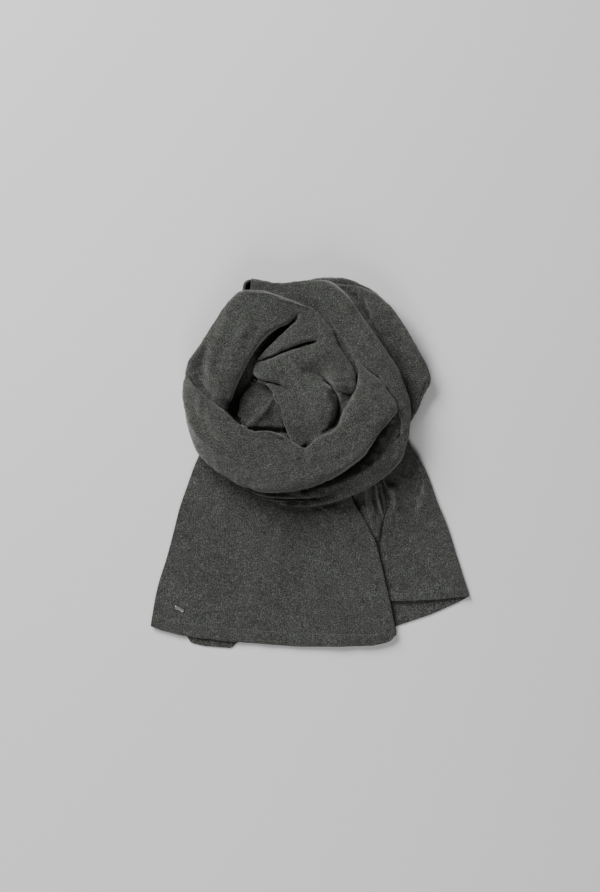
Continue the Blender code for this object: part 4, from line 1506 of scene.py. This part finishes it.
@dataclass
class TrimBar:
    """The small plain bar that is sewn near the front tail's lower left corner."""

    node: str = "trim_bar"
    length: float = 14.0
    width: float = 4.0
    thick: float = 1.4
    corner: float = 1.8
    dome: float = 0.45
    turn: float = math.radians(-28)
    made: Object = field(default=None, repr=False)

    def build(self, look: Material) -> None:
        """Makes the bar, a rounded plate with a shallow domed face, and hangs it on the frame.

        Args:
            look: Its material.
        """
        low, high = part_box(self.node)
        sizes = Matrix.Diagonal((self.length * MM, self.width * MM, self.thick * MM, 1))
        shape = bmesh.new()
        bmesh.ops.create_cube(shape, size=1)
        bmesh.ops.transform(shape, matrix=sizes, verts=shape.verts)
        for radius, segments, upright in ((self.corner, 6, True), (self.dome, 4, False)):
            rises = [(edge, abs(edge.verts[0].co.z - edge.verts[1].co.z)) for edge in shape.edges]
            geom = [e for e, rise in rises if (rise > 0.5 * self.thick * MM if upright else rise < 0.01 * MM)]
            bmesh.ops.bevel(shape, geom=geom, offset=radius * MM, segments=segments, profile=0.5, affect="EDGES")
        turned = Matrix.Translation((Vector(low) + Vector(high)) / 2) @ Matrix.Rotation(self.turn, 4, "Z")
        bmesh.ops.transform(shape, matrix=turned, verts=shape.verts)
        mesh = meshed(self.node, shape)
        mesh.shade_smooth()
        mesh.materials.append(look)
        self.made = linked(f"{self.node}_steel", mesh)
        hang(self.made, self.node)


@dataclass
class Grown:
    """Small things that Geometry Nodes put on the cloth."""

    name: str
    made: Object = field(default=None, repr=False)

    def sizes(self) -> dict[str, float]:
        """Names the tree's inputs and their values."""
        raise NotImplementedError

    def instances(self, tree: NodeTree, given: NodeOutputs) -> NodeSocket:
        """Adds the nodes that put the things in place.

        Args:
            tree: The node tree.
            given: The tree's inputs.

        Returns:
            The instances.
        """
        raise NotImplementedError

    def grow(self, source: Mesh, kind: str, look: Material) -> None:
        """Grows the things as a plain mesh and hangs them on the frame.

        Args:
            source: The mesh that they grow on.
            kind: The end of the piece's name.
            look: Their material.
        """
        sizes = self.sizes()
        tree = bpy.data.node_groups.new(f"{self.name}_tree", "GeometryNodeTree")
        tree.interface.new_socket(name="Base", in_out="INPUT", socket_type="NodeSocketGeometry")
        for title in sizes:
            tree.interface.new_socket(name=title, in_out="INPUT", socket_type="NodeSocketFloat")
        tree.interface.new_socket(name="Grown", in_out="OUTPUT", socket_type="NodeSocketGeometry")
        placed = self.instances(tree, add_node(tree, "NodeGroupInput", {}).outputs)
        real = add_node(tree, "GeometryNodeRealizeInstances", {"Geometry": placed}, "Geometry")
        dressed = add_node(tree, "GeometryNodeSetMaterial", {"Geometry": real, "Material": look}, "Geometry")
        add_node(tree, "NodeGroupOutput", {"Grown": dressed})
        rough = linked(self.name, source)
        growing = rough.modifiers.new("growing", "NODES")
        growing.node_group = tree
        for item in tree.interface.items_tree:
            if item.in_out == "INPUT" and item.name in sizes:
                growing[item.identifier] = sizes[item.name]
        self.made = linked(f"{self.name}_{kind}", worked_out(rough))
        hang(self.made)


@dataclass
class HemStitches(Grown):
    """The row of slanted stitches that holds a tail's hem."""

    spacing: float = 3.0
    length: float = 2.3
    width: float = 0.9
    slant: float = math.radians(28)
    clear: float = 0.15  # how far they stand out of the cloth

    def sizes(self) -> dict[str, float]:
        """Names the tree's inputs and their values."""
        length, width = self.length * MM, self.width * MM
        return {"Spacing": self.spacing * MM, "Length": length, "Width": width, "Slant": self.slant}

    def instances(self, tree: NodeTree, given: NodeOutputs) -> NodeSocket:
        """Sews beads of thread along the line.

        Args:
            tree: The node tree.
            given: The tree's inputs.

        Returns:
            The stitches.
        """
        line = add_node(tree, "GeometryNodeMeshToCurve", {"Mesh": given["Base"]}, "Curve")
        spots = add_node(
            tree, "GeometryNodeCurveToPoints", {"Curve": line, "Length": given["Spacing"]}, mode="LENGTH"
        ).outputs
        bead = add_node(tree, "GeometryNodeMeshUVSphere", {"Segments": 6, "Rings": 4, "Radius": 0.5}, "Mesh")
        size = vector(tree, given["Width"], given["Width"], given["Length"])
        wanted = {"Points": spots["Points"], "Instance": bead, "Rotation": spots["Rotation"], "Scale": size}
        sewn = add_node(tree, "GeometryNodeInstanceOnPoints", wanted, "Instances")
        slanted = {"Instances": sewn, "Rotation": vector(tree, 0.0, given["Slant"], 0.0)}
        return add_node(tree, "GeometryNodeRotateInstances", slanted, "Instances")

    def build(self, line: np.ndarray, look: Material) -> None:
        """Sews the stitches along a line of the cloth.

        Args:
            line: The line's points, in millimetres.
            look: The thread's material.
        """
        mesh = bpy.data.meshes.new(self.name)
        points = (line + np.array([0, 0, self.clear])) * MM
        mesh.from_pydata(points.tolist(), [(k, k + 1) for k in range(len(points) - 1)], [])
        self.grow(mesh, "thread", look)


@dataclass
class Nap(Grown):
    """The loose fibre ends that milling raises, which soften the cloth's outline."""

    density: float = 60000.0  # fibres for each square metre, far fewer than the real cloth has
    length: float = 2.4
    width: float = 0.11
    lean: float = 1.1
    twist: float = 3.1
    standing: float = 0.42  # how much of a fibre's length its root is moved up by
    seed: int = 7

    def sizes(self) -> dict[str, float]:
        """Names the tree's inputs and their values."""
        return {"Density": self.density, "Length": self.length * MM, "Width": self.width * MM, "Lean": self.lean}

    def instances(self, tree: NodeTree, given: NodeOutputs) -> NodeSocket:
        """Raises fibres on the faces that show.

        Args:
            tree: The node tree.
            given: The tree's inputs.

        Returns:
            The fibres.
        """
        shows = add_node(
            tree, "GeometryNodeInputNamedAttribute", {"Name": "shows"}, "Attribute", data_type="BOOLEAN"
        )
        wanted = {"Mesh": given["Base"], "Selection": shows, "Density": given["Density"], "Seed": self.seed}
        roots = add_node(tree, "GeometryNodeDistributePointsOnFaces", wanted).outputs
        sizes = {"Size X": given["Width"], "Size Y": given["Length"], "Vertices X": 2, "Vertices Y": 3}
        blade = add_node(tree, "GeometryNodeMeshGrid", sizes, "Mesh")
        lift = vector(tree, 0.0, 0.0, maths(tree, "MULTIPLY", given["Length"], self.standing))
        stand = {"Geometry": blade, "Translation": lift, "Rotation": (math.pi / 2, 0.0, 0.0)}
        stood = add_node(tree, "GeometryNodeTransform", stand, "Geometry")
        chance = {2: 0.4, 3: 1.2, "Seed": self.seed + 1}
        size = add_node(tree, "FunctionNodeRandomValue", chance, 1, data_type="FLOAT")
        wanted = {"Points": roots["Points"], "Instance": stood, "Rotation": roots["Rotation"], "Scale": size}
        raised = add_node(tree, "GeometryNodeInstanceOnPoints", wanted, "Instances")
        back = maths(tree, "MULTIPLY", given["Lean"], -1.0)
        least = vector(tree, back, back, -self.twist)
        most = vector(tree, given["Lean"], given["Lean"], self.twist)
        chance = {0: least, 1: most, "Seed": self.seed + 2}
        tip = add_node(tree, "FunctionNodeRandomValue", chance, 0, data_type="FLOAT_VECTOR")
        return add_node(tree, "GeometryNodeRotateInstances", {"Instances": raised, "Rotation": tip}, "Instances")

    def build(self, cloth: Object, look: Material) -> None:
        """Raises the nap on a piece of cloth.

        Args:
            cloth: The piece.
            look: The fibres' material.
        """
        self.grow(cloth.data.copy(), "fibres", look)


@dataclass(frozen=True)
class SoftLamp:
    """A square lamp, placed by where its light comes from."""

    name: str
    azimuth: float
    rise: float  # degrees above the floor
    watts: float
    side: float = 2.0
    reach: float = 3.5
    aim: tuple[float, float, float] = (-0.02, 0.03, 0.0)

    def build(self) -> None:
        """Makes the lamp and aims it at the cloth."""
        lamp = bpy.data.lights.new(self.name, "AREA")
        lamp.shape = "SQUARE"
        lamp.size = self.side
        lamp.energy = self.watts
        turn, rise = math.radians(self.azimuth), math.radians(self.rise)
        away = Vector((math.cos(turn) * math.cos(rise), math.sin(turn) * math.cos(rise), math.sin(rise)))
        lit = linked(self.name, lamp)
        lit.location = Vector(self.aim) + self.reach * away
        lit.rotation_euler = away.to_track_quat("Z", "Y").to_euler()


@dataclass
class Studio:
    """The floor, the light and the camera straight above."""

    sight: tuple[float, float] = (-13.8, 22.7)  # the middle of the view, on the floor
    tall: float = 1227.8  # the height of the view at the cloth, in millimetres
    distance: float = 4000.0
    level: float = 25.0  # the height in the cloth at which the view is measured
    sensor: float = 36.0
    floor_half: float = 4.0
    floor_drop: float = 0.0003
    room: str = "F4F4F6"
    fill: float = 0.12
    lamps: tuple[SoftLamp, ...] = (
        SoftLamp("window", 128.0, 38.0, 176.0),
        SoftLamp("far_window", 262.0, 38.0, 56.0),
    )

    def build(self, look: Material) -> None:
        """Makes the stage.

        Args:
            look: The floor's material.
        """
        shape = bmesh.new()
        bmesh.ops.create_grid(shape, x_segments=4, y_segments=4, size=self.floor_half)
        for vertex in shape.verts:
            vertex.co.z = -self.floor_drop
        mesh = meshed("floor", shape)
        mesh.materials.append(look)
        linked("floor", mesh)
        for lamp in self.lamps:
            lamp.build()
        world = bpy.data.worlds.new("room")
        world.use_nodes = True
        tree = world.node_tree
        feed(tree, tree.nodes["Background"], {"Color": linear(self.room), "Strength": self.fill})
        bpy.context.scene.world = world
        lens = bpy.data.cameras.new("camera")
        lens.sensor_width = self.sensor
        lens.lens = self.sensor * (self.distance - self.level) / self.tall
        lens.clip_end = 20.0
        camera = linked("camera", lens)
        camera.location = Vector((*self.sight, self.distance)) * MM
        bpy.context.scene.camera = camera


def shawl_pieces() -> list[Piece]:
    """Lists the stretches of cloth, from the floor up.

    Returns:
        The pieces, not yet built.
    """
    side = {"stations": 110, "top_points": 120, "under_points": 80, "hem_lift": 5.0, "pressed": 2.0}
    front = {"stations": 120, "top_points": 160, "under_points": 80, "pressed": 3.5}
    back = {"stations": 220, "points": 72, "roundness": 6.0, "seat": (500, 1500)}
    outer = {"stations": 420, "points": 84, "roundness": 5.0, "seat": (300, 1500)}
    inner = {"stations": 400, "points": 108, "roundness": 5.2, "seat": (200, 1500)}
    over = {"stations": 300, "points": 96, "roundness": 5.0, "seat": (160, 1500)}
    on_hidden, on_side, on_outer = ("hidden_layers_knit",), ("side_tail_knit",), ("loop_outer_knit",)
    return [
        FoldedTail("side_tail", (0.26, 0.26), ("hidden_layers",), table=SIDE_TAIL, hem=SIDE_HEM, **side),
        PleatedGather("tail_gather", (0.045, 0.105), on_side, Held.GATHERED, table=TAIL_GATHER),
        FoldedTail("front_tail", (0.55, 0.27), on_side, table=FRONT_TAIL, hem=FRONT_HEM, **front),
        WoundStretch("loop_back", (0.09, 0.34), on_hidden, table=LOOP_BACK, **back),
        WoundStretch("loop_outer", (0.1, 0.62), ("loop_back_knit",), table=LOOP_OUTER, **outer),
        WoundStretch("inner_lobe", (0.07, 0.1), on_hidden, table=INNER_LOBE, stations=90, points=64),
        WoundStretch("loop_inner", (0.125, 0.55), on_outer, table=LOOP_INNER, **inner),
        WoundStretch("loop_front", (0.12, 0.42), on_outer, table=LOOP_FRONT, **over),
    ]


def main() -> None:
    """Builds the shawl and its stage."""
    logging.basicConfig(level=logging.INFO, format="%(message)s")
    Studio().build(PaintedBoard().build())
    knit, thread, fibre = MilledKnit().build(), SpunThread().build(), LooseFibre().build()
    bar = TrimBar()
    bar.build(BrushedSteel().build())
    HiddenLayers().build(knit)
    for piece in shawl_pieces():
        piece.build(knit)
        nap = Nap(f"{piece.node}_nap")
        nap.build(piece.made, fibre)
        extras = [nap.made]
        if piece.node == "loop_outer":
            end = RolledEnd()
            end.build(knit)
            extras.append(end.made)
        if isinstance(piece, FoldedTail):
            hem = HemStitches(f"{piece.node}_hem")
            hem.build(piece.hem_line, thread)
            extras.append(hem.made)
            if piece.node == "front_tail":
                extras.append(bar.made)
        piece.declare(tuple(extras))


if __name__ == "__main__":
    main()
